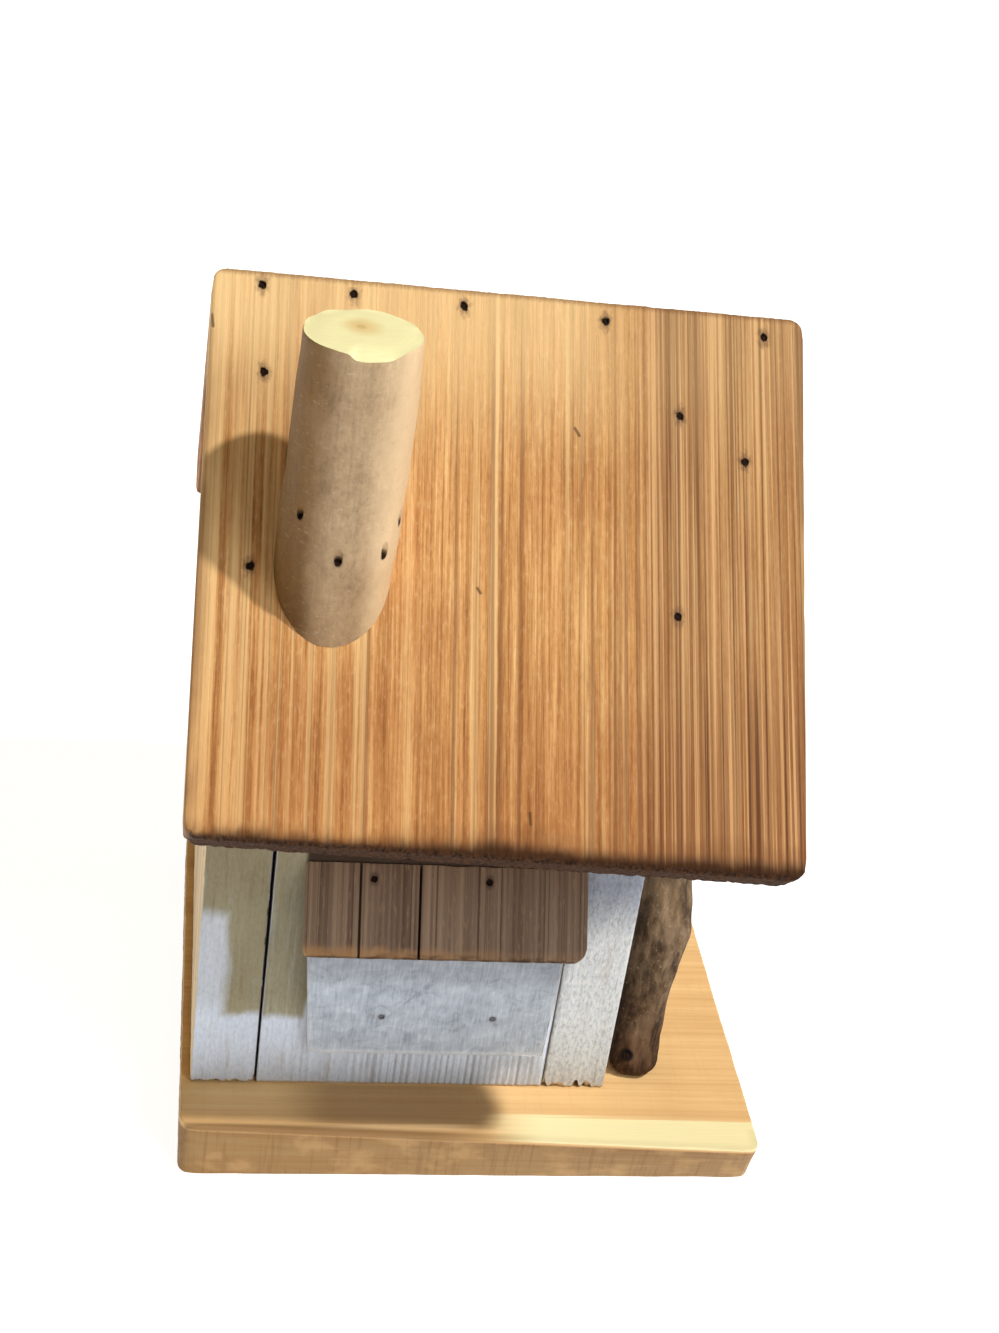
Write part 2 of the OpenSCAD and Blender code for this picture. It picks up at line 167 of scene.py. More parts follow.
class Value:
    """What a shader node gives. Sums and products of values add the nodes for them."""

    def __init__(self, finish, socket):
        self.finish, self.socket = finish, socket

    def __add__(self, other):
        return self.finish.math("ADD", self, other)

    def __sub__(self, other):
        return self.finish.math("SUBTRACT", self, other)

    def __rsub__(self, other):
        return self.finish.math("SUBTRACT", other, self)

    def __mul__(self, other):
        return self.finish.math("MULTIPLY", self, other)

    def __abs__(self):
        return self.finish.math("ABSOLUTE", self)


class Finish:
    """A Principled material, coloured in layers. x, y, z and mm are a place in the piece's millimetres."""

    def __init__(self, name, specular, metallic=0.0):
        self.material = bpy.data.materials.new(name)
        self.material.use_nodes = True
        self.tree = self.material.node_tree
        self.surface = self.tree.nodes["Principled BSDF"]
        self.surface.inputs["Specular IOR Level"].default_value = specular
        self.surface.inputs["Metallic"].default_value = metallic
        self.mm = self.vector("MULTIPLY", self.node("TexCoord", "Object"), (1 / MM,) * 3)
        self.x, self.y, self.z = (self.node("SeparateXYZ", axis, {0: self.mm}) for axis in range(3))

    def put(self, socket, value):
        """Links or sets an input."""
        if isinstance(value, Value):
            self.tree.links.new(value.socket, socket)
        else:
            socket.default_value = value

    def node(self, kind, output, inputs=None, **settings):
        """Adds a node with its settings and inputs, and returns one of its outputs."""
        made = self.tree.nodes.new("ShaderNode" + kind)
        for name, setting in settings.items():
            setattr(made, name, setting)
        for key, value in (inputs or {}).items():
            self.put(made.inputs[key], value)
        return Value(self, made.outputs[output])

    def vector(self, operation, a, b=(0, 0, 0)):
        output = "Value" if operation in ("LENGTH", "DOT_PRODUCT") else "Vector"
        return self.node("VectorMath", output, {0: a, 1: b}, operation=operation)

    def math(self, operation, a, b=0.0):
        return self.node("Math", 0, {0: a, 1: b}, operation=operation)

    def most(self, a, b):
        return self.math("MAXIMUM", a, b)

    def least(self, a, b):
        return self.math("MINIMUM", a, b)

    def grain(self, periods, seed, detail, roughness=0.5, distortion=0.0):
        """Noise of about 0 to 1 that repeats at a period along each axis. A long period draws a streak."""
        stretched = self.vector("MULTIPLY", self.mm, tuple(1 / p for p in periods))
        moved = self.vector("ADD", stretched, (seed, seed * 0.7, seed * 1.3))
        return self.node("TexNoise", "Fac", {
            "Vector": moved, "Scale": 1.0, "Detail": detail, "Roughness": roughness, "Distortion": distortion
        })

    def ease(self, value, low, high, start=0.0, end=1.0):
        """start below low, end above high, and smooth between them. low may be above high."""
        if low > high:
            low, high, start, end = high, low, end, start
        inputs = dict(enumerate((value, low, high, start, end)))
        return self.node("MapRange", 0, inputs, interpolation_type="SMOOTHSTEP")

    def spots(self, places, inner, outer, stretch=(1, 1, 1), ragged=0.0):
        """1 within inner of any place and 0 beyond outer, give or take a ragged noise."""
        found = 0.0
        for place in places:
            offset = self.vector("DIVIDE", self.vector("SUBTRACT", self.mm, tuple(place)), stretch)
            found = self.most(self.ease(self.vector("LENGTH", offset) + ragged, outer, inner), found)
        return found

    def stroke(self, a, b, inner, outer):
        """1 within inner of the straight line from a to b and 0 beyond outer."""
        way = tuple((b - a).normalized())
        offset = self.vector("SUBTRACT", self.mm, tuple(a))
        reach = self.least(self.most(self.vector("DOT_PRODUCT", offset, way), 0.0), (b - a).length)
        gap = self.vector("SUBTRACT", offset, self.vector("MULTIPLY", way, reach))
        return self.ease(self.vector("LENGTH", gap), outer, inner)

    def trait(self, name):
        """A number kept on the mesh: arris, the distance from an edge, or groove, the relief's depth."""
        return self.node("Attribute", "Fac", attribute_name=name)

    def mix(self, factor, a, b, mode="MIX"):
        """Colour a with b over it by factor. Plain colours are given as 0 to 255."""
        a, b = (linear(c) if isinstance(c, tuple) else c for c in (a, b))
        return self.node("Mix", 2, {"Factor": factor, 6: a, 7: b}, data_type="RGBA", blend_type=mode)

    def ramp(self, value, *stops):
        """Starts the colour off from stops of (position, shade)."""
        made = self.tree.nodes.new("ShaderNodeValToRGB")
        elements = made.color_ramp.elements
        while len(elements) < len(stops):
            elements.new(0.5)
        for element, (position, shade) in zip(elements, stops):
            element.position = position
            element.color = linear(shade)
        self.put(made.inputs[0], value)
        self.colour = Value(self, made.outputs[0])

    def paint(self, mask, shade):
        """Lays a shade over the colour."""
        self.colour = self.mix(mask, self.colour, shade)

    def dim(self, mask, shade):
        """Multiplies the colour by a shade."""
        self.colour = self.mix(mask, self.colour, shade, "MULTIPLY")

    def layer(self, value, low, high, strength, shade):
        """Lays a shade over the colour: none of it where the value is low, and strength where it is high."""
        self.paint(self.ease(value, low, high, 0, strength), shade)

    def done(self, roughness, *bumps):
        """Connects the colour, the roughness and bumps of (height, depth in millimetres)."""
        self.put(self.surface.inputs["Base Color"], self.colour)
        self.put(self.surface.inputs["Roughness"], roughness)
        under = {}
        for height, depth in bumps:
            normal = self.node("Bump", 0, {"Distance": depth * MM, "Height": height, **under})
            under = {"Normal": normal}
            self.put(self.surface.inputs["Normal"], normal)
        return self.material


def cedar_grain(f, seed, left, brown_from):
    """Honey-brown wood with straight grain up the slope, paler at the left end and brown at the right."""
    wide = f.grain((17, 1200, 60), seed + 1, 2)
    streak = f.grain((2.0, 150, 12), seed + 2, 3, 0.62, 0.25)
    thread = f.grain((0.8, 26, 3), seed + 3, 3, 0.62, 0.5)
    fleck = f.grain((1.0, 3.6, 1.6), seed + 4, 3, 0.65, 0.3)
    cloud = f.grain((34, 50, 60), seed + 5, 3)
    f.ramp(
        streak * 0.42 + (wide * 0.2 + thread * 0.38),
        (0.36, (161, 107, 59)), (0.45, (197, 141, 83)), (0.53, (218, 164, 103)), (0.63, (243, 201, 140))
    )
    f.dim(f.ease(cloud, 0.42, 0.66, 0, 0.3), (190, 140, 92))
    f.layer(fleck, 0.5, 0.74, 0.26, (250, 214, 160))
    f.layer(fleck, 0.46, 0.3, 0.3, (150, 98, 55))
    column = f.ease(abs(f.x - (brown_from + 24)), 15, 5, 0, 0.35)
    f.paint(column * f.ease(cloud, 0.35, 0.6, 0.3, 1), (126, 82, 48))
    near_left = f.ease(f.x, left + 56, left + 12, 0, 0.14)
    f.layer(f.grain((3.4, 500, 40), seed + 8, 3) + near_left, 0.56, 0.68, 0.6, (250, 212, 152))
    brown = f.ease(f.x + (wide - 0.5) * 110, brown_from - 10, brown_from + 16, 0, 0.52)
    brown = brown + f.ease(f.x, brown_from + 10, brown_from + 40) * f.ease(f.y, -95, -135, 0, 0.2)
    f.paint(brown, (150, 106, 66))
    f.layer(f.grain((2.3, 620, 30), seed + 6, 2), 0.58, 0.68, 0.6, (126, 80, 44))
    stripe = f.grain((1.0, 340, 30), seed + 9, 3)
    f.paint(f.ease(stripe, 0.51, 0.61) * (brown + 0.2), (104, 64, 36))
    f.paint(f.ease(stripe, 0.46, 0.36) * (brown + 0.15), (230, 184, 130))
    return streak, thread, fleck, cloud


def cedar_edges(f, ends, up, down, brown_from, streak, fleck, cloud):
    """A duller lower half, a pale ridge and dirty edges. up is measured from the eave, down from the top."""
    f.dim(f.ease(up, 95, 12, 0, 0.6), (222, 200, 184))
    ridge = f.ease(down + (streak - 0.5) * 90, 64, 8, 0, 0.6)
    f.paint(ridge * f.ease(f.x, brown_from + 14, brown_from - 16, 0.3, 1), (250, 214, 156))
    side = f.least(f.x - ends[0], ends[1] - f.x)
    f.paint(f.ease(side, 6, 0, 0, 0.7) * f.ease(cloud, 0.4, 0.6, 0.25, 1), (116, 72, 40))
    f.layer(down - fleck * 2.4, 1.6, -0.6, 0.6, (120, 78, 46))
    # Painted shade in the hollows of the grain.
    f.layer(f.trait("groove"), 0.16, 0.42, 0.55, (112, 70, 38))


def scorch(f, up, seed, thread, fleck):
    """Chars the wood along the eave. Returns how burnt it is."""
    reach = (f.grain((13, 20, 6), seed + 7, 3, 0.6) * 0.7 + thread * 0.3) * 8
    reach = reach + f.ease(f.x, -70, -20, -1.6, 0.7)
    burnt = f.ease(up - reach, 2.6, -2.6)
    f.layer(up - reach * 2.2, 3, -5, 0.4, (112, 66, 34))
    f.paint(burnt * 0.92, (52, 30, 16))
    f.paint(f.ease(up, 2.4, 0.6), f.mix(f.ease(fleck, 0.4, 0.6), (34, 19, 10), (74, 45, 24)))
    return burnt


def cedar(name, ends, eave, top, nails, brown_from, seed, marks):
    """A roof board's wood, with a charred eave and rust round its nails.

    ends are its lowest and highest X. eave and top are each edge's Y at X = 0 and its rise along X. Beyond
    X = brown_from the wood is browner. marks are short dark strokes in the grain.
    """
    f = Finish(name, specular=0.15)
    streak, thread, fleck, cloud = cedar_grain(f, seed, ends[0], brown_from)
    up = f.y - f.x * eave[1] - eave[0]
    down = f.x * top[1] + top[0] - f.y
    cedar_edges(f, ends, up, down, brown_from, streak, fleck, cloud)
    for mark in marks:
        f.paint(f.stroke(*mark, 0.2, 0.8) * 0.75, (84, 54, 32))
    burnt = scorch(f, up, seed, thread, fleck)
    ragged = (f.grain((1.5, 2.4, 2), seed + 10, 2) - 0.5) * 4
    f.paint(f.spots(nails, 1.0, 2.9, (1, 1.7, 1.6), ragged) * 0.5, (92, 62, 48))
    f.paint(f.spots(nails, 1.0, 1.5, (1, 1.2, 1.5), ragged * 0.5), (30, 19, 14))
    dull = f.most(f.ease(streak, 0.35, 0.65, 0.72, 0.52), burnt * 0.9)
    return f.done(dull, (streak, 0.22), (thread, 0.14), (fleck, 0.1))


def shade_flutes(f, low, high):
    """Paints shade into the hollows of the paint between two X positions."""
    inside = f.ease(f.x, low - 3, low + 4) * f.ease(f.x, high + 2, high - 6)
    f.paint(inside * f.ease(f.trait("groove"), 0.18, 0.42, 0, 0.5), (134, 124, 120))


def paint_front_shadow(f, patch, left, right, foot, shoulder):
    """Painted shadow in olive, between left and right from foot up and right across above shoulder, with
    painted shade above the foot and over the awning.
    """
    edge_x, edge_z = f.x + (patch - 0.5) * 7, f.z + (patch - 0.5) * 6
    column = f.ease(edge_x, left - 2.2, left + 2.2) * f.ease(edge_x, right + 2, right)
    under = column * f.ease(edge_z, foot - 2.2, foot + 2.2)
    above = f.ease(edge_z, shoulder - 3, shoulder + 4)
    # Painted shade: the wall a little darker above the foot.
    f.dim(f.ease(edge_z, foot - 4, foot + 12, 0, 0.75), (222, 218, 212))
    # The olive painted shadow of the awning and the eave, on the front faces.
    f.dim(f.most(under, above) * f.ease(f.y, HOUSE_FRONT + 0.6, HOUSE_FRONT + 0.2), (194, 178, 138))
    # A dark strip of painted shade on the wall just above the awning.
    low, high = AWNING_LOW, AWNING_HIGH
    over = f.ease(f.z, high.z - 3, high.z) * f.ease(f.x, low.x - 1, low.x + 1)
    f.paint(over * f.ease(f.x, high.x + 1, high.x - 1), (58, 42, 30))


def whitewash(name, seed, painted_shadow=None, flutes=None, fluff=0.25, tint=(255, 255, 255), eave_shade_above=None):
    """Chalky bluish white paint brushed thinly up and down the boards, with wood showing in the grain."""
    f = Finish(name, specular=0.25)
    brush = f.grain((1.5, 1.5, 34), seed + 1, 3, 0.6)
    fine = f.grain((0.55, 0.55, 9), seed + 2, 2)
    patch = f.grain((9, 9, 26), seed + 3, 3)
    fuzz = f.grain((1.1, 1.1, 2.6), seed + 4, 3, 0.7)
    f.ramp(
        brush * 0.45 + (fine * 0.2 + patch * 0.35),
        (0.34, (192, 197, 208)), (0.43, (201, 208, 222)), (0.52, (206, 215, 230)), (0.63, (214, 224, 240))
    )
    f.layer(fuzz, 0.5, 0.64, fluff, (237, 238, 238))
    f.layer(fuzz, 0.49, 0.36, fluff * 0.8, (158, 155, 152))
    f.paint(f.ease(brush, 0.43, 0.33) * f.ease(patch, 0.52, 0.38) * 0.3, (178, 158, 134))
    f.dim(1.0, tint)
    # Painted shade of the eave: the wall darker towards the top.
    if eave_shade_above:
        f.dim(f.ease(f.z, eave_shade_above - 22, eave_shade_above + 10), (176, 182, 196))
    f.layer(f.trait("arris") - fuzz * 2.2, 0.4, -0.6, 0.8, (196, 168, 124))
    # Painted shade in the flutes' hollows.
    if flutes:
        shade_flutes(f, *flutes)
    # Painted shadow of the awning and the eave on the front.
    if painted_shadow:
        paint_front_shadow(f, patch, *painted_shadow)
    return f.done(f.ease(patch, 0.3, 0.7, 0.85, 0.7), (brush, 0.2), (fine, 0.1), (fuzz, 0.14))


def bare_wood(name, along, tones, seed, detail=None, nails=()):
    """Plain sawn softwood. along is its grain's axis, and tones are its dark, middle and light colours."""
    f = Finish(name, specular=0.3)

    def periods(across, length):
        return tuple(length if axis == along else across for axis in range(3))

    ring = f.grain(periods(7, 260), seed + 1, 2, 0.5, 0.35)
    line = f.grain(periods(1.6, 150), seed + 2, 3, 0.6, 0.2)
    pore = f.grain(periods(0.5, 7), seed + 3, 2)
    cloud = f.grain(periods(36, 36), seed + 4, 2)
    saw = f.grain(periods(30, 1.3), seed + 5, 2)
    f.ramp(ring * 0.45 + (line * 0.35 + cloud * 0.2), (0.36, tones[0]), (0.5, tones[1]), (0.62, tones[2]))
    f.layer(pore, 0.58, 0.72, 0.3, tones[0])
    f.layer(saw, 0.55, 0.7, 0.14, tones[0])
    if detail:
        detail(f, line)
    if nails:
        f.paint(f.spots(nails, 1.4, 4.0) * 0.6, (84, 60, 48))
    return f.done(f.ease(line, 0.35, 0.65, 0.72, 0.55), (line, 0.14), (pore, 0.1), (saw, 0.05))


def peeled_bark(name, nails, left, right):
    """The smooth greyish tan skin of a peeled branch, with painted shade in olive on its left side, fading
    out from left to right, and a painted highlight at its right.
    """
    f = Finish(name, specular=0.35)
    streak = f.grain((5, 5, 90), 11, 2)
    fine = f.grain((1.1, 1.1, 22), 12, 3, 0.6)
    dash = f.grain((3.0, 3.0, 0.9), 13, 3, 0.7)
    cloud = f.grain((16, 16, 26), 14, 3)
    mottle = f.grain((1.9, 1.9, 2.6), 15, 4, 0.7)
    f.ramp(
        (streak + fine) * 0.17 + (mottle * 0.36 + cloud * 0.3),
        (0.36, (146, 120, 90)), (0.46, (172, 145, 112)), (0.55, (185, 158, 124)), (0.66, (204, 178, 143))
    )
    f.dim(f.ease(f.z, CHIMNEY_LOW.z + 34, CHIMNEY_LOW.z + 12, 0, 0.7), (224, 214, 202))
    # Painted shade in olive on the left side, and a painted highlight on the right side.
    edge = f.x + (cloud - 0.5) * 8
    f.dim(f.ease(edge, right, left, 0, 0.9), (172, 142, 62))
    f.layer(edge, right + 8, right + 20, 0.55, (248, 217, 174))
    f.layer(dash, 0.6, 0.74, 0.28, (222, 206, 186))
    f.layer(dash, 0.4, 0.28, 0.2, (128, 108, 88))
    f.paint(f.spots(nails, 0.9, 1.9, (1, 1, 1.2)), (66, 46, 34))
    dull = f.ease(fine, 0.3, 0.7, 0.55, 0.72)
    return f.done(dull, (fine, 0.12), (dash, 0.1), (mottle, 0.22), (cloud, 0.5))


def cut_end(name, pith):
    """The freshly sawn end of a branch: pale wood with faint rings round a brown pith."""
    f = Finish(name, specular=0.3)
    warp = f.grain((14, 14, 14), 21, 2)
    flat = f.vector("MULTIPLY", f.vector("SUBTRACT", f.mm, tuple(pith)), (1, 1, 0))
    reach = f.vector("LENGTH", flat) + (warp - 0.5) * 5
    rings = f.math("SINE", reach * 3.1)
    saw = f.grain((30, 0.7, 0.7), 22, 2)
    f.colour = f.mix(f.ease(rings, 0.1, 1, 0, 0.07), (255, 249, 194), (240, 216, 150))
    f.layer(saw, 0.54, 0.7, 0.2, (244, 222, 160))
    f.layer(reach, 8.0, 1.0, 0.7, (234, 196, 128))
    f.layer(reach, 1.6, 0.6, 0.35, (196, 150, 92))
    return f.done(0.7, (saw, 0.08), (warp, 0.5))


def rough_bark(name, hole):
    """Dark brown bark with greyish patches and ridges, tan towards the top."""
    f = Finish(name, specular=0.25)
    ridge = f.grain((2.4, 2.4, 13), 31, 4, 0.65, 0.6)
    scale = f.grain((4.5, 4.5, 7), 32, 4, 0.6, 0.8)
    patch = f.grain((10, 10, 22), 33, 3)
    speck = f.grain((1.1, 1.1, 1.5), 34, 2)
    f.ramp(
        ridge * 0.5 + scale * 0.5,
        (0.34, (46, 33, 22)), (0.45, (76, 56, 38)), (0.54, (100, 78, 55)), (0.66, (136, 112, 84))
    )
    ground = BASE_HIGH.z
    f.layer(f.z + (patch - 0.5) * 60, ground + 58, ground + 84, 0.5, (158, 132, 100))
    f.layer(patch, 0.5, 0.66, 0.6, (146, 122, 98))
    f.layer(speck, 0.6, 0.75, 0.5, (168, 144, 116))
    f.layer(patch, 0.46, 0.34, 0.6, (48, 35, 25))
    # Painted shade in the bark's cracks.
    f.layer(f.trait("groove"), 0.5, 1.4, 0.8, (26, 18, 12))
    f.dim(f.ease(f.z, ground + 50, ground + 4, 0, 0.8), (188, 160, 140))
    f.paint(f.spots([hole], 1.8, 3.4), (12, 9, 7))
    return f.done(f.ease(scale, 0.3, 0.7, 0.9, 0.68), (ridge, 0.55), (scale, 0.5), (speck, 0.15))


def stained(name, nails, splits):
    """Grey-brown weathered stained wood with dark grain lines, and a lighter lower edge at Y = 0: partly
    wear, partly a painted highlight, strongest at the left.
    """
    f = Finish(name, specular=0.3)
    line = f.grain((1.5, 260, 10), 41, 3, 0.6)
    wide = f.grain((9, 500, 30), 42, 2)
    fleck = f.grain((0.8, 5, 1), 43, 2)
    f.ramp(
        line * 0.55 + wide * 0.45,
        (0.34, (80, 61, 49)), (0.45, (116, 93, 76)), (0.54, (139, 115, 95)), (0.66, (164, 139, 115))
    )
    f.layer(fleck, 0.55, 0.72, 0.3, (176, 146, 118))
    f.layer(f.grain((1.1, 900, 30), 44, 1), 0.62, 0.68, 0.6, (62, 46, 37))
    # The lower edge is painted lighter, strongest at the left: partly wear, partly a painted highlight of
    # sunlight.
    worn = f.ease(f.y + (f.grain((4, 6, 6), 45, 3) - 0.5) * 5, 5, 1.4) * f.ease(f.x, 12, -34, 0.2, 1)
    f.paint(worn * 0.8, (182, 138, 94))
    burnt = f.ease(f.grain((7, 3.2, 3.2), 46, 3), 0.46, 0.64) * f.ease(f.y, 3.0, 0.4)
    f.paint(burnt * 0.75, (74, 50, 34))
    f.layer(f.y, 1.1, 0.2, 0.85, (66, 45, 31))
    for x in splits:
        f.layer(abs(f.x - x), 0.6, 0.25, 0.85, (34, 24, 19))
    f.paint(f.spots(nails, 0.9, 2.2, (1, 1.5, 1.5)) * 0.6, (52, 40, 36))
    return f.done(f.ease(line, 0.35, 0.65, 0.75, 0.55), (line, 0.25), (fleck, 0.1))


def shingle_paint(name, nails, scratch, foot):
    """Thick pale blue-white paint with brush marks running every way, with painted shade up under the awning
    and a painted highlight along its foot.
    """
    f = Finish(name, specular=0.3)
    swirl = f.grain((6, 5, 7), 51, 3, 0.5, 0.9)
    brush = f.grain((0.9, 9, 5), 52, 3, 0.6, 0.8)
    patch = f.grain((14, 16, 16), 53, 2)
    f.ramp(
        swirl * 0.4 + (brush * 0.4 + patch * 0.2),
        (0.36, (146, 153, 164)), (0.46, (168, 176, 188)), (0.54, (180, 188, 200)), (0.66, (202, 209, 219))
    )
    # A painted highlight along the bottom edge.
    f.layer(f.y, foot + 3.0, foot + 0.8, 0.4, (228, 230, 234))
    # Painted shade of the awning over the top of the panel.
    f.dim(f.ease(f.y, foot + 33, foot + 42, 0, 0.85), (214, 212, 212))
    f.paint(f.stroke(*scratch, 0.2, 0.8), (128, 130, 138))
    f.paint(f.spots(nails, 0.9, 2.6) * 0.55, (132, 128, 130))
    f.paint(f.spots(nails, 0.9, 1.5), (84, 82, 88))
    f.layer(f.trait("arris") - brush * 1.6, 0.1, -0.6, 0.4, (196, 190, 178))
    return f.done(f.ease(patch, 0.3, 0.7, 0.7, 0.55), (swirl, 0.7), (brush, 0.3))


def steel(name, dark, light, rust, roughness, metallic=0.0):
    """Metal, or a painted or rusted nail, with a mottled colour and fine scratches."""
    f = Finish(name, specular=0.5 if metallic else 0.15, metallic=metallic)
    cloud = f.grain((1.4, 1.4, 1.4), 61, 3)
    speck = f.grain((0.4, 0.4, 0.4), 62, 2)
    f.ramp(cloud, (0.35, dark), (0.65, light))
    f.layer(speck, 0.52, 0.66, 0.7, rust)
    dull = f.ease(speck, 0.35, 0.65, roughness, min(1.0, roughness + 0.25))
    return f.done(dull, (speck, 0.06), (cloud, 0.08))


# ---- Board meshes ----

def spread(low, high, step, near=(0.3, 0.7, 1.2, 1.9, 2.9), extra=()):
    """Positions from low to high: close together at both ends, then about a step apart."""
    near = [n for n in near if n < (high - low) / 2 - step / 2]
    start, end = low + (near[-1] if near else 0), high - (near[-1] if near else 0)
    count = max(1, round((end - start) / step))
    marks = {low, high, *extra}
    marks.update(start + (end - start) * i / count for i in range(count + 1))
    marks.update(low + n for n in near[:-1])
    marks.update(high - n for n in near[:-1])
    kept = []
    for mark in sorted(marks):
        if not kept or mark - kept[-1] > 0.08:
            kept.append(mark)
    kept[-1] = high
    return kept


def grid_shell(xs, ys, zs):
    """The surface of a box as grid points and outward faces."""
    index, faces = {}, []
    marks = (xs, ys, zs)
    last = [len(m) - 1 for m in marks]
    for axis in range(3):
        u, v = (axis + 1) % 3, (axis + 2) % 3
        for side in (0, last[axis]):
            for a in range(last[u]):
                for b in range(last[v]):
                    ring = []
                    for step_u, step_v in ((0, 0), (1, 0), (1, 1), (0, 1)):
                        key = [0, 0, 0]
                        key[axis], key[u], key[v] = side, a + step_u, b + step_v
                        ring.append(index.setdefault(tuple(key), len(index)))
                    faces.append(ring if side else ring[::-1])
    return [Vector((xs[i], ys[j], zs[k])) for i, j, k in index], faces


def inset(value, half, amount):
    """value brought in to at least an amount inside half."""
    return math.copysign(min(abs(value), half - amount), value)


def eased(p, half, radius):
    """A point on a box round the origin, moved to round the arrises between its faces and its sides."""
    side = min(half.x - abs(p.x), half.y - abs(p.y))
    end = half.z - abs(p.z)
    if side >= radius or end >= radius:
        return p
    bend = Vector((side - radius, end - radius)).normalized() * radius
    side, end = radius + bend.x, radius + bend.y
    return Vector((inset(p.x, half.x, side), inset(p.y, half.y, side), inset(p.z, half.z, end)))


def cornered(p, half, radius):
    """A point in a box round the origin, moved to round the corner of its outline."""
    dx, dy = abs(p.x) - half.x + radius, abs(p.y) - half.y + radius
    if dx <= 0 or dy <= 0:
        return p
    shrink = max(dx, dy) / math.hypot(dx, dy)
    return Vector((
        math.copysign(half.x - radius + dx * shrink, p.x),
        math.copysign(half.y - radius + dy * shrink, p.y),
        p.z,
    ))


def set_trait(mesh, name, values):
    attribute = mesh.attributes.new(name, "FLOAT", "POINT")
    attribute.data.foreach_set("value", values)


def make_piece(name, points, faces, place, traits=None):
    """A mesh object from points in millimetres of its own frame."""
    mesh = bpy.data.meshes.new(name)
    mesh.from_pydata([p * MM for p in points], [], faces)
    for trait, values in (traits or {}).items():
        set_trait(mesh, trait, values)
    mesh.validate()
    piece = bpy.data.objects.new(name, mesh)
    bpy.context.scene.collection.objects.link(piece)
    piece.matrix_world = place
    return piece


def sink(piece, relief):
    """Moves each point in along its normal by relief(point, normal) millimetres, and stores the depth."""
    mesh = piece.data
    normals = [Vector(n.vector) for n in mesh.vertex_normals]
    depths = []
    for vertex, normal in zip(mesh.vertices, normals):
        depth = relief(vertex.co / MM, normal)
        depths.append(depth)
        vertex.co -= normal * depth * MM
    set_trait(mesh, "groove", depths)
    mesh.update()


def blend_corners(lower, upper, size):
    """A map from a box of a size round the origin to the solid between two four-cornered faces."""
    def shape(p):
        u, v, w = (p[i] / size[i] + 0.5 for i in range(3))
        ends = []
        for face in (lower, upper):
            near = face[0].lerp(face[1], u)
            far = face[3].lerp(face[2], u)
            ends.append(near.lerp(far, v))
        return ends[0].lerp(ends[1], w)
    return shape


def board(name, size, steps, place, shape, corners, arris, relief, extra_x=(), extra_y=()):
    """A gridded box with rounded corners and worn arrises, mapped to a board's shape, with raised grain."""
    half = Vector(size) / 2
    xs = spread(-half.x, half.x, steps[0], extra=extra_x)
    ys = spread(-half.y, half.y, steps[1], extra=extra_y)
    zs = spread(-half.z, half.z, steps[2])
    grid, faces = grid_shell(xs, ys, zs)
    points, distances = [], []
    for p in grid:
        distances.append(max(min(half.x - abs(p.x), half.y - abs(p.y)), half.z - abs(p.z)))
        corner = corners[(p.x > 0) + 2 * (p.y > 0)]
        points.append(shape(cornered(eased(p, half, arris(p)), half, corner)))
    piece = make_piece(name, points, faces, place, {"arris": distances})
    sink(piece, relief)
    return piece


def heading(step, steps):
    """The level direction at one of some even steps round a turn."""
    turn = 2 * math.pi * step / steps
    return Vector((math.cos(turn), math.sin(turn), 0))


def tube(rings):
    """Points and faces of a closed tube over rings of points, lowest first."""
    points = [p for ring in rings for p in ring]
    sides = len(rings[0])
    faces = []
    for ring in range(len(rings) - 1):
        for i in range(sides):
            a, b = ring * sides + i, ring * sides + (i + 1) % sides
            faces.append([a, b, b + sides, a + sides])
    faces.append(list(range(sides))[::-1])
    faces.append([len(points) - sides + i for i in range(sides)])
    return points, faces


def lathe(profile, place, sides, ragged=0.0):
    """Points and faces of a closed solid of revolution from a profile of (radius, height), lowest first."""
    at = place.translation / MM
    rings = []
    for radius, height in profile:
        ring = []
        for i in range(sides):
            way = heading(i, sides)
            reach = radius * (1 + ragged * rough(way.x * 1.4 + at.x, way.y * 1.4 + at.y))
            ring.append(place @ ((way * reach + Vector((0, 0, height))) * MM) / MM)
        rings.append(ring)
    return tube(rings)


def cut(piece, solids):
    """Cuts solids, each given as points and faces in the piece's frame, out of a piece for good."""
    points, faces = [], []
    for solid_points, solid_faces in solids:
        faces += [[i + len(points) for i in face] for face in solid_faces]
        points += solid_points
    cutter = make_piece("cutter", points, faces, piece.matrix_world)
    for polygon in cutter.data.polygons:
        polygon.material_index = BARE
    modifier = piece.modifiers.new("cut", "BOOLEAN")
    modifier.operation, modifier.solver, modifier.object = "DIFFERENCE", "EXACT", cutter
    bpy.context.view_layer.update()
    graph = bpy.context.evaluated_depsgraph_get()
    mesh = bpy.data.meshes.new_from_object(piece.evaluated_get(graph))
    piece.modifiers.clear()
    piece.data = mesh
    bpy.data.objects.remove(cutter)


def recess(at, place=HERE):
    """The dent that a nail's head sits in. at is a point on the surface, Z out of it."""
    here = place @ Matrix.Translation(Vector(at) * MM)
    return lathe([(1.1, -1.3), (1.2, -0.5), (1.45, 1.5)], here, 20, 0.3)


def complete(piece, body, nodes, materials, which=None):
    """Shades a piece, gives it its materials and ties it to the frame. which picks each face's material."""
    mesh = piece.data
    mesh.materials.clear()
    for material in materials:
        mesh.materials.append(material)
    for polygon in mesh.polygons:
        if which:
            polygon.material_index = which(polygon)
    mesh.shade_smooth()
    mesh.set_sharp_from_angle(angle=math.radians(38))
    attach(piece, body)
    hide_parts(*nodes)


def rough(x, y, z=0.0):
    """Smooth noise from about -1 to 1."""
    return noise.noise(Vector((x, y, z)))


# ---- Base board ----

BASE_LOW, BASE_HIGH = box_mm("base_board")


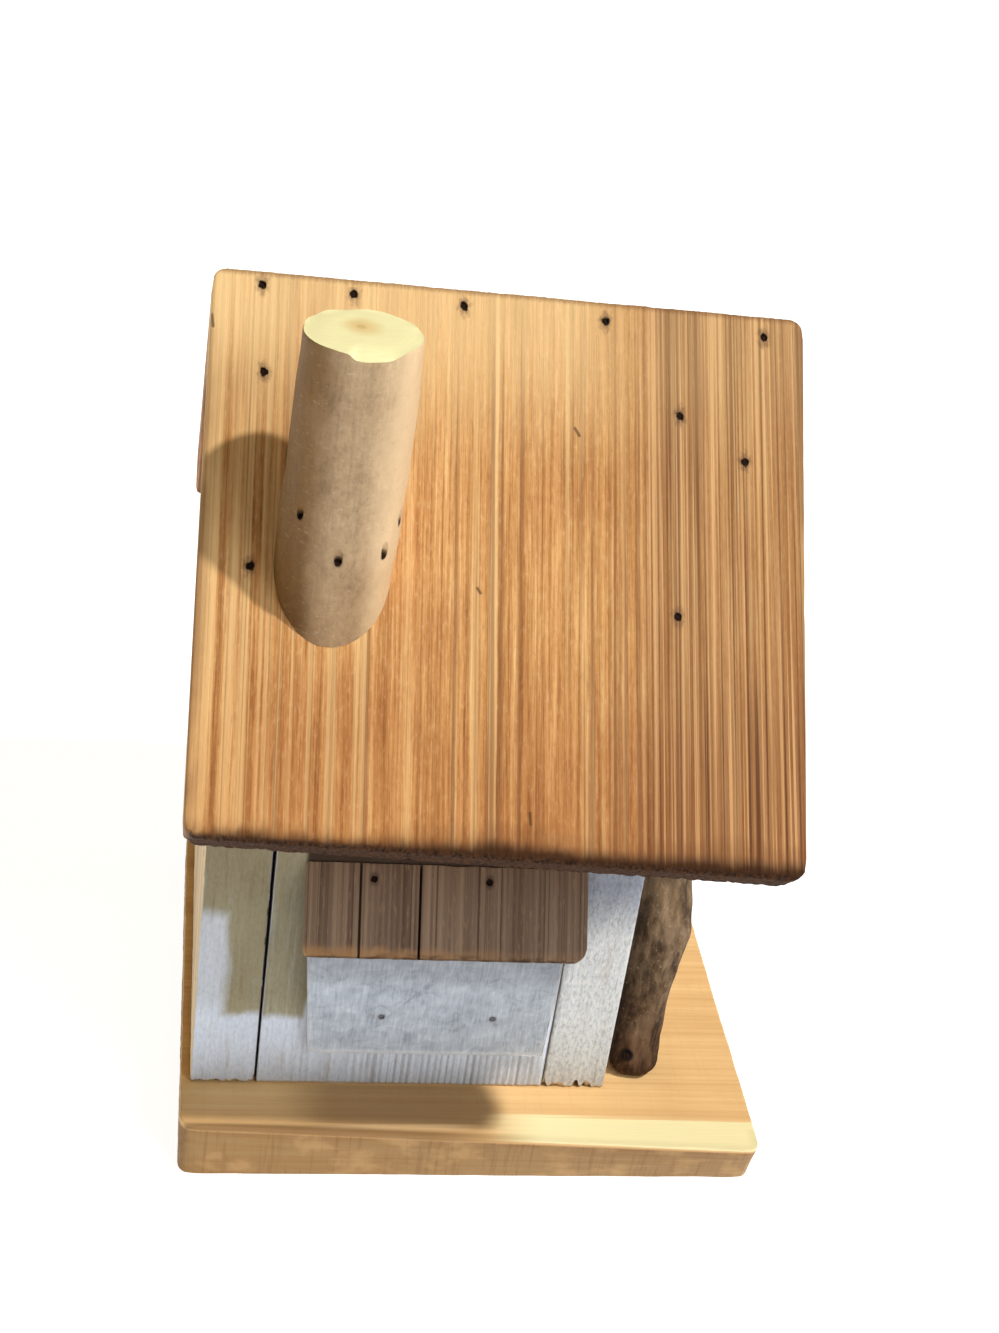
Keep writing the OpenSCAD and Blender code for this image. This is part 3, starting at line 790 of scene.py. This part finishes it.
def base_marks(f, line):
    """Pale sapwood along the front right, a painted shadow of the roof on the base before the house, and the
    weathered front, with painted shade over its top arris.
    """
    wander = (line - 0.5) * 9
    edge = f.y + f.x * 0.03 + wander
    # Painted shadow of the roof on the base in front of the wall.
    foot = f.ease(edge, BASE_LOW.y + 8, BASE_LOW.y + 12) * f.ease(f.y, HOUSE_FRONT + 1, HOUSE_FRONT - 1)
    f.dim(foot * f.ease(f.x, -74, -48) * f.ease(f.x, 16, 4) * 0.75, (178, 166, 158))
    sap = f.ease(edge, BASE_LOW.y + 18.8, BASE_LOW.y + 16.8) * f.ease(f.x + wander, 0, 26)
    f.paint(sap * f.ease(f.z, BASE_HIGH.z - 1.5, BASE_HIGH.z - 0.4) * 0.95, (255, 244, 190))
    sliver = f.ease(abs(f.y - f.x * 0.02 - (BASE_LOW.y + 10.64)), 2.0, 0.8)
    f.paint(sliver * f.ease(f.x, -66, -40) * f.ease(f.x, 8, -12) * 0.75, (240, 200, 146))
    # Painted shade over the top front arris, full at the left, so the lit arris is no brighter than the front
    # face. The front face is dimmed too: partly darker sawn wood, partly painted shade.
    shaded_lip = f.ease(f.trait("arris"), 4.2, 1.2) * f.ease(f.y, BASE_LOW.y + 12, BASE_LOW.y + 10)
    front = f.ease(f.z, BASE_HIGH.z - 1.2, BASE_HIGH.z - 2.8)
    f.dim(f.most(front, shaded_lip * f.ease(f.x, 30, -20, 0.15, 1)), (165, 158, 149))
    f.paint(front * f.ease(f.grain((1.4, 60, 26), 7, 3, 0.6), 0.5, 0.68, 0, 0.35), (120, 84, 50))
    f.paint(front * f.ease(f.grain((14, 30, 9), 8, 3), 0.5, 0.68, 0, 0.35), (206, 166, 114))


def build_base():
    points = points_in("base_board", HERE)
    lower, upper = face_corners(points, BASE_LOW.z), face_corners(points, BASE_HIGH.z)
    size = Vector((BASE_HIGH.x - BASE_LOW.x, lower[3].y - lower[0].y, BASE_HIGH.z))

    def relief(p, n):
        lines = 0.10 + 0.12 * rough(p.x / 140, p.y / 2.2, p.z / 2.2) + 0.15 * rough(p.x / 200, p.y / 9, 3)
        sawn = 0.25 * abs(rough(p.x / 3.1, p.y / 40, p.z / 9)) * (1 - abs(n.z))
        return max(0.0, lines + sawn)

    def arris(p):
        wear = 0.55 + 0.4 * rough(p.x / 9, p.y / 9, 2) + 0.9 * max(0.0, rough(p.x / 23, p.y / 23, 7))
        return max(0.35, wear)

    steps = (3.6, 1.25, 2.0)
    piece = board("base", size, steps, HERE, blend_corners(lower, upper, size), (5,) * 4, arris, relief)
    heads = nail_heads("base_nails", UNDERSIDE)
    cut(piece, [recess((h.x, h.y, 0), UNDERSIDE) for h in heads])
    tones = ((226, 178, 120), (240, 196, 136), (248, 208, 148))
    wood = bare_wood("pine_base", 0, tones, 2, base_marks, [Vector((h.x, -h.y, 0)) for h in heads])
    complete(piece, "house", ["base_board"], [wood, wood])


# ---- Walls ----

def painted_joint_shade(shade):
    """Colours a side wall's inner face where the end walls butt against it, with painted shade for the
    joint's gap.
    """
    def detail(f, line):
        f.paint(f.ease(f.least(f.y - HOUSE_FRONT, HOUSE_REAR - f.y), 20, 17), shade)
    return detail


# The front's painted shadow (left, right, foot and shoulder) and its flutes with painted shade in their
# hollows (left and right).
PAINTED_SHADOW = (WALL_LOW.x + 10.5, box_mm("door_panel")[0].x + 3, BASE_HIGH.z + 32, BASE_HIGH.z + 77)
FLUTES = (box_mm("door_panel")[0].x - 1, RIGHT_LOW.x)


def build_side_wall(name, low, high, face, nails, inward):
    """A gable wall. inward is the direction of the nest, -1 or 1 along X."""
    middle = (low + high) / 2
    size = Vector((high.x - low.x, high.y - low.y, EAVE_Z - low.z))
    seed = 5.0 * inward
    torn = 2.4 if inward > 0 else 6.0

    def shape(p):
        y = p.y + middle.y
        top = APEX_Z - abs(y - RIDGE_Y) * math.tan(PITCH)
        up = p.z / size.z + 0.5
        teeth = rough(p.x / 2.1, p.y / 2.1, seed) + 0.4 * rough(p.x / 0.9, p.y / 0.9, seed + 4)
        foot = torn * max(0.0, teeth + 0.05) * max(0.0, 1 - up / 0.05)
        return Vector((p.x + middle.x, y, low.z + foot + up * (top - low.z - foot)))

    def relief(p, n):
        if abs(n.z) > 0.8:
            return 0.0
        brush = 0.1 * rough(p.x / 1.5, p.y / 1.5, p.z / 34 + seed) + 0.13 * rough(p.x / 6, p.y / 6, p.z / 60)
        tuft = 0.12 * rough(p.x / 1.1, p.y / 1.1, p.z / 2.4 + seed) if n.y < -0.7 else 0.0
        return max(0.0, 0.14 + brush + tuft)

    def arris(p):
        return max(0.3, 0.8 + 0.4 * rough(p.x / 5, p.y / 5, p.z / 12 + seed))

    ridge = RIDGE_Y - middle.y
    steps = (0.95, 2.4, 3.2)
    piece = board(name + "_board", size, steps, HERE, shape, (1.2,) * 4, arris, relief, extra_y=(ridge,))
    cut(piece, [recess((h.x, h.y, 0), face) for h in nail_heads(nails, face)])
    if inward > 0:
        paint = whitewash("whitewash_" + name, seed, PAINTED_SHADOW)
    else:
        # The right wall's front gets painted shade of the eave towards its top.
        dull = AWNING_LOW.z + 14
        paint = whitewash("whitewash_" + name, seed, fluff=0.62, tint=(246, 240, 229), eave_shade_above=dull)
    outer = bare_wood("outer_wood_" + name, 2, ((190, 158, 114), (218, 190, 146), (236, 212, 168)), seed)
    # Painted shade in the joint: dark at the left wall, lighter at the right wall.
    joint_shade = painted_joint_shade((34, 27, 22) if inward > 0 else (142, 132, 120))
    bare = bare_wood("wood_" + name, 2, ((160, 122, 78), (196, 158, 108), (222, 188, 138)), seed, joint_shade)

    def which(polygon):
        if inward > 0 and polygon.normal.x < -0.6:
            return OUTER
        return BARE if polygon.normal.x * inward > 0.6 or abs(polygon.normal.z) > 0.6 else PAINTED

    complete(piece, "house", [name], [paint, bare, outer], which)


def build_end_wall(name, outward, holes):
    """An end wall board. outward is -1 for the front wall and 1 for the rear wall."""
    low, high = box_mm(name)
    gap_left, gap_right = 0.3, 0.06
    low.x, high.x = low.x + gap_left, high.x - gap_right
    middle = (low + high) / 2
    size = high - low
    seed = 9.0 * outward

    def shape(p):
        # The left joint gapes more towards the top, with the paint bridging it here and there.
        bridge = 1 - 0.7 * max(0.0, rough(p.z / 6, 2, 20))
        lean = (p.z / size.z + 0.5) * 0.7 * bridge * (0.5 - p.x / size.x)
        return p + middle + Vector((lean, 0, 0))

    def relief(p, n):
        wavy = p.x + 0.8 * rough(p.x / 20, p.z / 60, 1)
        comb = 0.17 * math.sin(2 * math.pi * wavy / 2.4) + 0.14 * rough(wavy / 2.3, p.z / 160, seed)
        below_panel = max(0.15, min(1.0, (p.x + middle.x - FLUTES[0] + 3) / 6))
        flute = 0.24 + comb * below_panel if n.y * outward > 0.7 else 0.1
        return max(0.0, flute + 0.12 * rough(p.x / 0.9, p.y / 2, p.z / 22))

    def arris(p):
        return max(0.25, 0.6 + 0.3 * rough(p.x / 5, p.y / 5, p.z / 12 + seed))

    piece = board(name + "_board", size, (0.8, 2.6, 5.5), HERE, shape, (0.8,) * 4, arris, relief)
    cut(piece, holes)
    drawn = (PAINTED_SHADOW, FLUTES) if outward < 0 else (None, None)
    paint = whitewash("whitewash_" + name, seed, *drawn)
    bare = bare_wood("wood_" + name, 2, ((168, 130, 84), (204, 166, 114), (228, 196, 146)), seed)

    def which(polygon):
        if polygon.material_index == BARE:
            return BARE
        return PAINTED if polygon.normal.y * outward > 0.5 or abs(polygon.normal.x) > 0.8 else BARE

    complete(piece, "house", [name], [paint, bare], which)


def bored(radius, depth, place):
    """A round hole with its mouths eased, from Z = 0 down to -depth."""
    mouth = ((0, 1.6), (1.1, 0), (2.2, -1.2))
    profile = [(radius + flare, ease - depth) for flare, ease in reversed(mouth)]
    profile += [(radius + flare, -ease) for flare, ease in mouth]
    return lathe(profile, place, 72)


def build_walls():
    build_side_wall("left_wall", WALL_LOW, WALL_HIGH, LEFT_FACE, "left_wall_nails", 1)
    build_side_wall("right_wall", RIGHT_LOW, RIGHT_HIGH, RIGHT_FACE, "right_wall_nails", -1)
    front_low, front_high = box_mm("front_wall")
    thick = front_high.y - front_low.y
    entrance = Vector(ENTRANCE["pos_m"]) / MM
    mouth = FRONT_FACE @ Matrix.Translation(Vector((entrance.x, entrance.z, 0)) * MM)
    build_end_wall("front_wall", -1, [bored(ENTRANCE["dims"]["r_mm"], thick, mouth)])
    screw_low, screw_high = box_mm("cover_screw")
    screw = (screw_low + screw_high) / 2
    outer = [p for p in points_in("rear_wall", REAR_FACE) if abs(p.z) < 0.05]
    rim = [p for p in outer if abs(p.x + screw.x) < 40 and BASE_HIGH.z + 5 < p.y < screw.z - 5]
    foot, head = min(p.y for p in rim), max(p.y for p in rim)
    mouth = REAR_FACE @ Matrix.Translation(Vector((-screw.x, (foot + head) / 2, 0)) * MM)
    build_end_wall("rear_wall", 1, [bored((head - foot) / 2, thick, mouth)])


# ---- Roof ----

# Dark ticks in the front board's grain, each from one place (across, up the slope) to another.
GRAIN_MARKS = [((9.3, -30), (10.7, -32.4)), ((-4.7, -156.5), (-4.5, -160)), ((-22, -85.5), (-21, -87)),
               ((-108.6, 0), (-108, -4))]


def build_roof_board(name, place, eave_arris, top_corner, brown_from, nail_nodes, seed, marks=()):
    """A roof plank. eave_arris is the wear along its eave, and top_corner its upper corners' radius."""
    points = points_in(name, place)
    bottom, top = min(p.z for p in points), max(p.z for p in points)
    lower, upper = face_corners(points, bottom), face_corners(points, top)
    size = Vector((lower[1].x - lower[0].x, lower[3].y - lower[0].y, top - bottom))
    eave = (lower[0].y + lower[1].y) / 2
    rise = (lower[1].y - lower[0].y) / (lower[1].x - lower[0].x)
    slant = (lower[2].y - lower[3].y) / (lower[2].x - lower[3].x)

    def relief(p, n):
        lines = 0.12 + 0.12 * rough(p.x / 1.8, p.y / 170, seed) + 0.16 * rough(p.x / 7, p.y / 320, seed + 3)
        near_eave = max(0.0, 1 - (p.y - eave - rise * p.x) / 6)
        crumble = near_eave * 0.9 * max(0.0, rough(p.x / 2.2, p.y / 2.6, p.z / 2.6 + seed))
        sawn = 0.3 * abs(rough(p.x / 1.6, p.y / 20, p.z / 4)) * abs(n.y)
        return max(0.0, lines + crumble + sawn)

    def arris(p):
        near_eave = max(0.0, 1 - (p.y + size.y / 2) / 4) if p.z > 0 else -0.15
        wear = 0.9 + 0.4 * rough(p.x / 11, p.y / 11, seed) + 0.5 * max(0.0, rough(p.x / 4, p.y / 4, seed + 2))
        bite = 1.0 + 0.6 * rough(p.x / 5.5, 1, seed) + 0.5 * rough(p.x / 2.1, 4, seed)
        return max(0.4, wear + near_eave * (eave_arris - 0.9) * max(0.2, bite))

    shape, corners = blend_corners(lower, upper, size), (5, 5, top_corner, top_corner)
    plank, steps = name.replace("_board", "_plank"), (0.85, 4.2, 2.4)
    piece = board(plank, size, steps, place, shape, corners, arris, relief)
    nails = [Vector((h.x, h.y, top)) for node in nail_nodes for h in nail_heads(node, place)]
    cut(piece, [recess(nail) for nail in nails])
    ends = (min(p.x for p in lower), max(p.x for p in lower))
    eave_line, top_line = (lower[0].y - rise * lower[0].x, rise), (lower[3].y - slant * lower[3].x, slant)
    marks = [[Vector((x, y, top)) for x, y in mark] for mark in marks]
    wood = cedar("cedar_" + name, ends, eave_line, top_line, nails, brown_from, seed, marks)
    complete(piece, "house", [name], [wood, wood])


# ---- Branches ----

CHIMNEY_LOW, CHIMNEY_HIGH = box_mm("chimney")
POST_LOW, POST_HIGH = box_mm("porch_post")


def ring_sections(node):
    """The round sections of a CAD branch, from the foot up, as (height, centre x, centre y, radius)."""
    heights = {}
    for p in points_in(node, HERE):
        heights.setdefault(round(p.z, 1), []).append(p.to_2d())
    found = []
    for z, ring in sorted(heights.items()):
        centre = sum(ring, Vector((0, 0))) / len(ring)
        reaches = [(p - centre).length for p in ring]
        if len(ring) > 12 and min(reaches) > 0.97 * max(reaches):
            found.append((z, centre.x, centre.y, sum(reaches) / len(ring)))
    return found


def foot_section(points, roof_rise):
    """The section of a branch where it stands on the roof."""
    foot = [p for p in points if p.z - p.y < roof_rise + 0.1]
    xs, ys, zs = zip(*foot)
    return (sum(zs) / len(zs), (min(xs) + max(xs)) / 2, (min(ys) + max(ys)) / 2, (max(xs) - min(xs)) / 2)


def along(sections, z):
    """The centre and radius at a height, between sections or carried on past them."""
    if z <= sections[0][0]:
        return sections[0][1:]
    for one, two in zip(sections, sections[1:]):
        if z <= two[0]:
            t = (z - one[0]) / (two[0] - one[0])
            t = t * t * (3 - 2 * t)
            return tuple(a + (b - a) * t for a, b in zip(one[1:], two[1:]))
    return sections[-1][1:]


def eased_step(value, low, high):
    """0 at low, 1 at high, and smooth between them."""
    t = max(0.0, min(1.0, (value - low) / (high - low)))
    return t * t * (3 - 2 * t)


def scooped(head, middle, lift, profile):
    """The hole round a toe-nail's head in a branch round a middle. Its axis rises by lift degrees."""
    way = Vector((head.x - middle[0], head.y - middle[1], 0)).normalized()
    out = way * math.cos(math.radians(lift)) + Vector((0, 0, 1)) * math.sin(math.radians(lift))
    turn = out.to_track_quat("Z", "Y").to_matrix().to_4x4()
    return lathe(profile, Matrix.Translation(head * MM) @ turn, 20)


def chimney_rings(sections, centre, roof_rise, sides, rows):
    """Rings of points from the roof's slope up to the sawn top."""
    rings = []
    for row in range(rows + 1):
        ring = []
        for i in range(sides):
            way = heading(i, sides)
            foot = centre.y + way.y * 18 + roof_rise
            z = foot + (CHIMNEY_HIGH.z - foot) * (row / rows)
            x, y, radius = along(sections, max(z, sections[0][0]))
            lump = 0.35 * rough(way.x * 1.3, way.y * 1.3, z / 26) + 0.12 * rough(way.x * 5, way.y * 5, z / 30)
            here = Vector((x, y, 0)) + way * (radius + 0.15 + lump)
            here.z = z if row else here.y + roof_rise
            ring.append(here)
        rings.append(ring)
    return rings


def wear_rim(rings, middle):
    """Softens the last ring and chips it at the front right. Returns how chipped it is at each point."""
    chips = []
    for i, p in enumerate(rings[-1]):
        turn = math.degrees(math.atan2(p.y - middle.y, p.x - middle.x))
        chip = eased_step(turn, -109, -99) * eased_step(turn, -40, -78)
        wave = 0.5 * rough(p.x / 6, p.y / 6, 3)
        p += ((middle - p) * Vector((1, 1, 0))).normalized() * 0.3
        p.z -= 0.5 + wave + 1.8 * chip
        rings[-2][i].z -= 1.2 * chip
        rings[-3][i].z -= 0.5 * chip
        chips.append(chip)
    return chips


def sawn_rings(rim, middle, chips):
    """Rings across the sawn top, in to the pith."""
    rings = []
    for share in (0.93, 0.8, 0.6, 0.4, 0.2, 0.06):
        ring = []
        for p, chip in zip(rim, chips):
            q = middle + (p - middle) * share
            q.z = CHIMNEY_HIGH.z - 0.05 - 0.25 * abs(rough(q.x / 5, q.y / 5, 8)) - (0.5 if share > 0.9 else 0)
            q.z -= chip * max(0.0, 1.8 * (share - 0.7) / 0.3)
            ring.append(q)
        rings.append(ring)
    return rings


def build_chimney():
    points = points_in("chimney", HERE)
    top_ring = [p for p in points if abs(p.z - CHIMNEY_HIGH.z) < 0.05]
    centre = sum(top_ring, Vector()) / len(top_ring)
    roof_rise = min(p.z - p.y for p in points)
    sections = sorted(ring_sections("chimney") + [foot_section(points, roof_rise)])
    sides = 112
    rings = chimney_rings(sections, centre, roof_rise, sides, 60)
    rim = rings[-1]
    middle = sum(rim, Vector()) / sides
    chips = wear_rim(rings, middle)
    points, faces = tube(rings + sawn_rings(rim, middle, chips))
    piece = make_piece("chimney_branch", points, faces, HERE, {"groove": [0.0] * len(points)})
    heads = nail_heads("chimney_nails", HERE)
    cut(piece, [scooped(h, centre, 60, [(1.15, -0.6), (1.3, 0.6), (1.7, 3.5), (1.4, 6)]) for h in heads])
    skin = peeled_bark("peeled_branch", heads, centre.x - 15, centre.x - 5)
    end = cut_end("branch_end", middle + Vector((-0.5, 3.2, 0)))

    def which(polygon):
        at = polygon.center / MM
        offset = (at - middle).to_2d()
        nearest = round(math.atan2(offset.y, offset.x) / (2 * math.pi) * sides) % sides
        inside = offset.length < 0.985 * (rim[nearest] - middle).to_2d().length
        return SAWN if inside and at.z > CHIMNEY_HIGH.z - 3.5 else SKIN

    complete(piece, "house", ["chimney"], [skin, end], which)


def bark_depth(way, z):
    """How deep the bark lies below its highest ridges, on the side of the branch that faces a way."""
    ridge = rough(way.x * 4.2, way.y * 4.2, z / 14) * 0.45
    scale = rough(way.x * 2.2, way.y * 2.2, z / 7 + 5) * 0.5
    crack = max(0.0, rough(way.x * 3, way.y * 3, z / 40 + 11) - 0.25) * 1.6
    return 0.5 + ridge + scale + crack


def post_rings(sections, roof_rise, sides, rows):
    """Rings of points up the post, and how deep the bark lies at each. It has a knot and a rounded foot."""
    rings, depths = [], []
    for row in range(rows + 1):
        z = POST_LOW.z + (POST_HIGH.z - POST_LOW.z) * (row / rows)
        x, y, radius = along(sections, z)
        round_off = 3.52 * (1 - math.sqrt(1 - (1 - min(1.0, (z - POST_LOW.z) / 6)) ** 2))
        ring = []
        for i in range(sides):
            way = heading(i, sides)
            turn = 2 * math.pi * (i / sides - 1) + 0.5
            knot = math.exp(-(turn ** 2) / 0.25 - ((z - POST_LOW.z - 62) / 7) ** 2) * 0.9
            depth = bark_depth(way, z)
            here = Vector((x, y, 0)) + way * (radius + 0.25 - depth + knot - round_off)
            here.z = min(z, here.y + roof_rise)
            ring.append(here)
            depths.append(depth)
        rings.append(ring)
    return rings, depths


def build_post():
    sections = ring_sections("porch_post")
    nail = nail_heads("post_foot_nail", HERE)[0]
    roof_rise = max(p.z - p.y for p in points_in("porch_post", HERE))
    rings, depths = post_rings(sections, roof_rise, 72, 190)
    points, faces = tube(rings)
    piece = make_piece("porch_post_branch", points, faces, HERE, {"groove": depths})
    cut(piece, [scooped(nail, along(sections, nail.z), 50, [(1.6, -0.4), (2.2, 1.2), (3.0, 4), (3.0, 8)])])
    complete(piece, "house", ["porch_post"], [rough_bark("bark", nail)] * 2)


# ---- Awning and door panel ----

AWNING_PITCH = 50


def build_awning():
    front = [p for p in points_in("awning", HERE) if p.y < AWNING_LOW.y + 0.05]
    foot = Vector((0, AWNING_LOW.y, max(p.z for p in front)))
    place = Matrix.Translation(foot * MM) @ turned(AWNING_PITCH, "X")
    points = points_in("awning", place)
    bottom = min(p.z for p in points)
    lower, upper = face_corners(points, bottom), face_corners(points, 0)
    size = Vector((upper[1].x - upper[0].x, upper[3].y - upper[0].y, -bottom))
    middle = (upper[0].x + upper[1].x) / 2
    splits = [upper[0].x + size.x * 0.19, upper[0].x + size.x * 0.4]
    depths = [0.7, 1.8]

    def relief(p, n):
        depth = 0.1 + 0.1 * rough(p.x / 1.6, p.y / 120, 41) + 0.14 * rough(p.x / 6, p.y / 200, 42)
        if n.z > 0.6:
            for split, deep in zip(splits, depths):
                depth += deep * max(0.0, 1 - abs(p.x - split) / 0.45)
        near_foot = max(0.0, 1 - p.y / 5)
        return max(0.0, depth + near_foot * 0.8 * max(0.0, rough(p.x / 2.6, p.y / 3, p.z / 3 + 6)))

    def arris(p):
        near_foot = max(0.0, 1 - (p.y + size.y / 2) / 4)
        return max(0.3, 0.6 + 0.3 * rough(p.x / 6, p.y / 6, 5) + near_foot * 0.6 * rough(p.x / 4, 2, 9))

    extra = [s - middle + d for s in splits for d in (-0.5, -0.25, 0, 0.25, 0.5)]
    piece = board("awning_board", size, (0.8, 2.4, 1.2), place, blend_corners(lower, upper, size),
                  (2, 6, 0.6, 0.6), arris, relief, extra_x=extra)
    nails = [Vector((h.x, h.y, 0)) for h in nail_heads("awning_nails", place)]
    cut(piece, [recess(n) for n in nails])
    complete(piece, "house", ["awning"], [stained("stained_awning", nails, splits)] * 2)


def build_panel():
    points = points_in("door_panel", FRONT_FACE)
    outline = outline_corners(points)
    foot, head = outline[0].y, outline[3].y
    foot_t = max(p.z for p in points if p.y < foot + 0.05)
    head_t = max(p.z for p in points)
    size = Vector((outline[1].x - outline[0].x, head - foot, head_t))
    lower = [Vector((c.x, c.y, 0)) for c in outline]
    upper = [Vector((c.x, c.y, t)) for c, t in zip(outline, (foot_t, foot_t, head_t, head_t))]
    corner = Vector((outline[0].x, foot, 0))
    slope = (head_t - foot_t) / (head - foot)
    scratch = [corner + Vector((x, y, foot_t + slope * y)) for x, y in ((42, 40), (27, 19))]

    def relief(p, n):
        swirl = 0.3 * rough(p.x / 5 + rough(p.y / 9, 1), p.y / 8, 51) + 0.16 * rough(p.x / 1.8, p.y / 6, 52)
        start, end = scratch
        line = (end - start).to_2d()
        t = max(0.0, min(1.0, (p.to_2d() - start.to_2d()).dot(line) / line.length_squared))
        gouge = max(0.0, 1 - (p.to_2d() - start.to_2d() - line * t).length / 1.1)
        return max(0.0, 0.28 + swirl + 0.5 * gouge) * (1 if n.z > 0.5 else 0.3)

    def arris(p):
        return max(0.25, min(0.8, foot_t / 2.4) + 0.2 * rough(p.x / 6, p.y / 6, 15))

    piece = board("door_shingle", size, (0.9, 0.9, 1.2), FRONT_FACE, blend_corners(lower, upper, size),
                  (4, 1, 0.5, 0.5), arris, relief)
    heads = nail_heads("door_panel_nails", FRONT_FACE)
    nails = [Vector((h.x, h.y, foot_t + slope * (h.y - foot))) for h in heads]
    cut(piece, [recess(n) for n in nails])
    paint = shingle_paint("shingle_paint", nails, scratch, foot)
    complete(piece, "house", ["door_panel"], [paint, paint])


# ---- Clean-out cover ----

def build_cover():
    low, high = box_mm("cleanout_cover")
    middle = (low + high) / 2
    place = Matrix.Translation(Vector((middle.x, low.y, middle.z)) * MM) @ turned(180, "Z") @ turned(90, "X")
    size = Vector((high.x - low.x, high.z - low.z, high.y - low.y))

    def shape(p):
        return p + Vector((0, 0, size.z / 2))

    def relief(p, n):
        return max(0.0, 0.12 + 0.12 * rough(p.x / 2, p.y / 120, 71) + 0.14 * rough(p.x / 8, p.y / 200, 72))

    def arris(p):
        return max(0.5, 1.2 + 0.4 * rough(p.x / 8, p.y / 8, 73))

    piece = board("cleanout_door", size, (1.0, 3.2, 2.0), place, shape, (8, 8, 8, 8), arris, relief)
    screw_low, screw_high = box_mm("cover_screw")
    screw = (screw_low + screw_high) / 2
    pivot = place.inverted() @ (Vector((screw.x, low.y, screw.z)) * MM)
    at_pivot = Matrix.Translation(Vector((pivot.x, pivot.y, 0)))
    cut(piece, [lathe([(2.25, -2), (2.25, size.z - 0.5), (2.7, size.z + 1)], at_pivot, 32)])
    wood = bare_wood("cover_pine", 1, ((178, 138, 90), (214, 176, 122), (236, 204, 152)), 75)
    complete(piece, "cover", ["cleanout_cover"], [wood, wood])


# ---- Fasteners: the CAD nodes stay, with better materials ----

def draw_in(node, depth):
    """Draws a node's surface in, so that its nail heads sit below the wood."""
    node.modifiers.new("weld", "WELD").merge_threshold = 0.01 * MM
    shrink = node.modifiers.new("shrink", "DISPLACE")
    shrink.strength, shrink.mid_level = -depth * MM, 0


def finish_fasteners():
    painted = steel("painted_steel", (84, 84, 90), (120, 121, 128), (70, 58, 50), 0.7)
    nail = steel("nail_steel", (20, 12, 8), (40, 26, 18), (66, 36, 20), 0.8)
    screw = steel("screw_steel", (150, 146, 138), (188, 184, 176), (140, 110, 80), 0.32, 0.9)
    for name, node in frame["nodes"].items():
        if not node.hide_render:
            node.data.materials.clear()
            if name in ("cover_screw", "cover_washer"):
                node.data.materials.append(screw)
            else:
                node.data.materials.append(painted if name == "door_panel_nails" else nail)
                draw_in(node, 0.4)


# ---- Camera, floor and lights ----

# The photo's camera: its place in metres, two of its axes, and its lens in millimetres.
CAMERA_AT = Vector((-0.11876, -0.62198, 0.54129))
CAMERA_RIGHT = Vector((0.9856, -0.1126, 0.1264))
CAMERA_BACK = Vector((-0.1622, -0.8418, 0.5149))
CAMERA_LENS = 55.39
FLOOR_REACH, FLOOR_DROP = 15, 0.0002


def add_object(name, data):
    made = bpy.data.objects.new(name, data)
    bpy.context.scene.collection.objects.link(made)
    return made


def build_camera():
    camera = add_object("camera", bpy.data.cameras.new("camera"))
    camera.data.lens = CAMERA_LENS
    camera.data.clip_end = 60
    back = CAMERA_BACK.normalized()
    right = (CAMERA_RIGHT - back * CAMERA_RIGHT.dot(back)).normalized()
    turn = Matrix((right, back.cross(right), back)).transposed()
    camera.matrix_world = Matrix.Translation(CAMERA_AT) @ turn.to_4x4()
    bpy.context.scene.camera = camera


def build_floor():
    """A white floor that glows a little, so that the ground is as white as in the photo."""
    mesh = bpy.data.meshes.new("floor")
    reach, drop = FLOOR_REACH, -FLOOR_DROP
    corners = [(-reach, -reach, drop), (reach, -reach, drop), (reach, reach, drop), (-reach, reach, drop)]
    mesh.from_pydata(corners, [], [(0, 1, 2, 3)])
    floor = add_object("floor", mesh)
    pale = Finish("floor", specular=0.1)
    pale.surface.inputs["Emission Color"].default_value = (1, 1, 1, 1)
    pale.surface.inputs["Emission Strength"].default_value = 0.88
    pale.colour = linear((206, 206, 206))
    mesh.materials.append(pale.done(0.9))


def build_sun(name, way, strength, colour, softness):
    """A lamp that shines a way. softness is the sun's width in degrees."""
    lamp = add_object(name, bpy.data.lights.new(name, "SUN"))
    lamp.data.energy, lamp.data.color, lamp.data.angle = strength, colour, math.radians(softness)
    lamp.rotation_euler = Vector(way).to_track_quat("-Z", "Y").to_euler()


def build_studio():
    build_camera()
    build_floor()
    build_sun("key", (-0.454, 0.227, -0.862), 2.3, (1.0, 0.96, 0.9), 2.5)
    build_sun("window", (-0.58, 0.62, -0.53), 0.95, (0.86, 0.94, 1.0), 25)
    world = bpy.data.worlds.new("studio")
    bpy.context.scene.world = world
    world.use_nodes = True
    sky = world.node_tree.nodes["Background"].inputs
    sky["Color"].default_value = (1.0, 0.86, 0.62, 1)
    sky["Strength"].default_value = 0.2
    bpy.context.scene.view_settings.view_transform = "Standard"


build_studio()
build_base()
build_walls()
FRONT_NAILS = ("ridge_nails", "front_roof_nails", "post_top_nail")
build_roof_board("front_roof_board", FRONT_SLOPE, 2.6, 5, 20, FRONT_NAILS, 0.0, GRAIN_MARKS)
build_roof_board("rear_roof_board", REAR_SLOPE, 1.8, 1, 60, ("rear_roof_nails",), 80.0)
build_chimney()
build_post()
build_awning()
build_panel()
build_cover()
finish_fasteners()
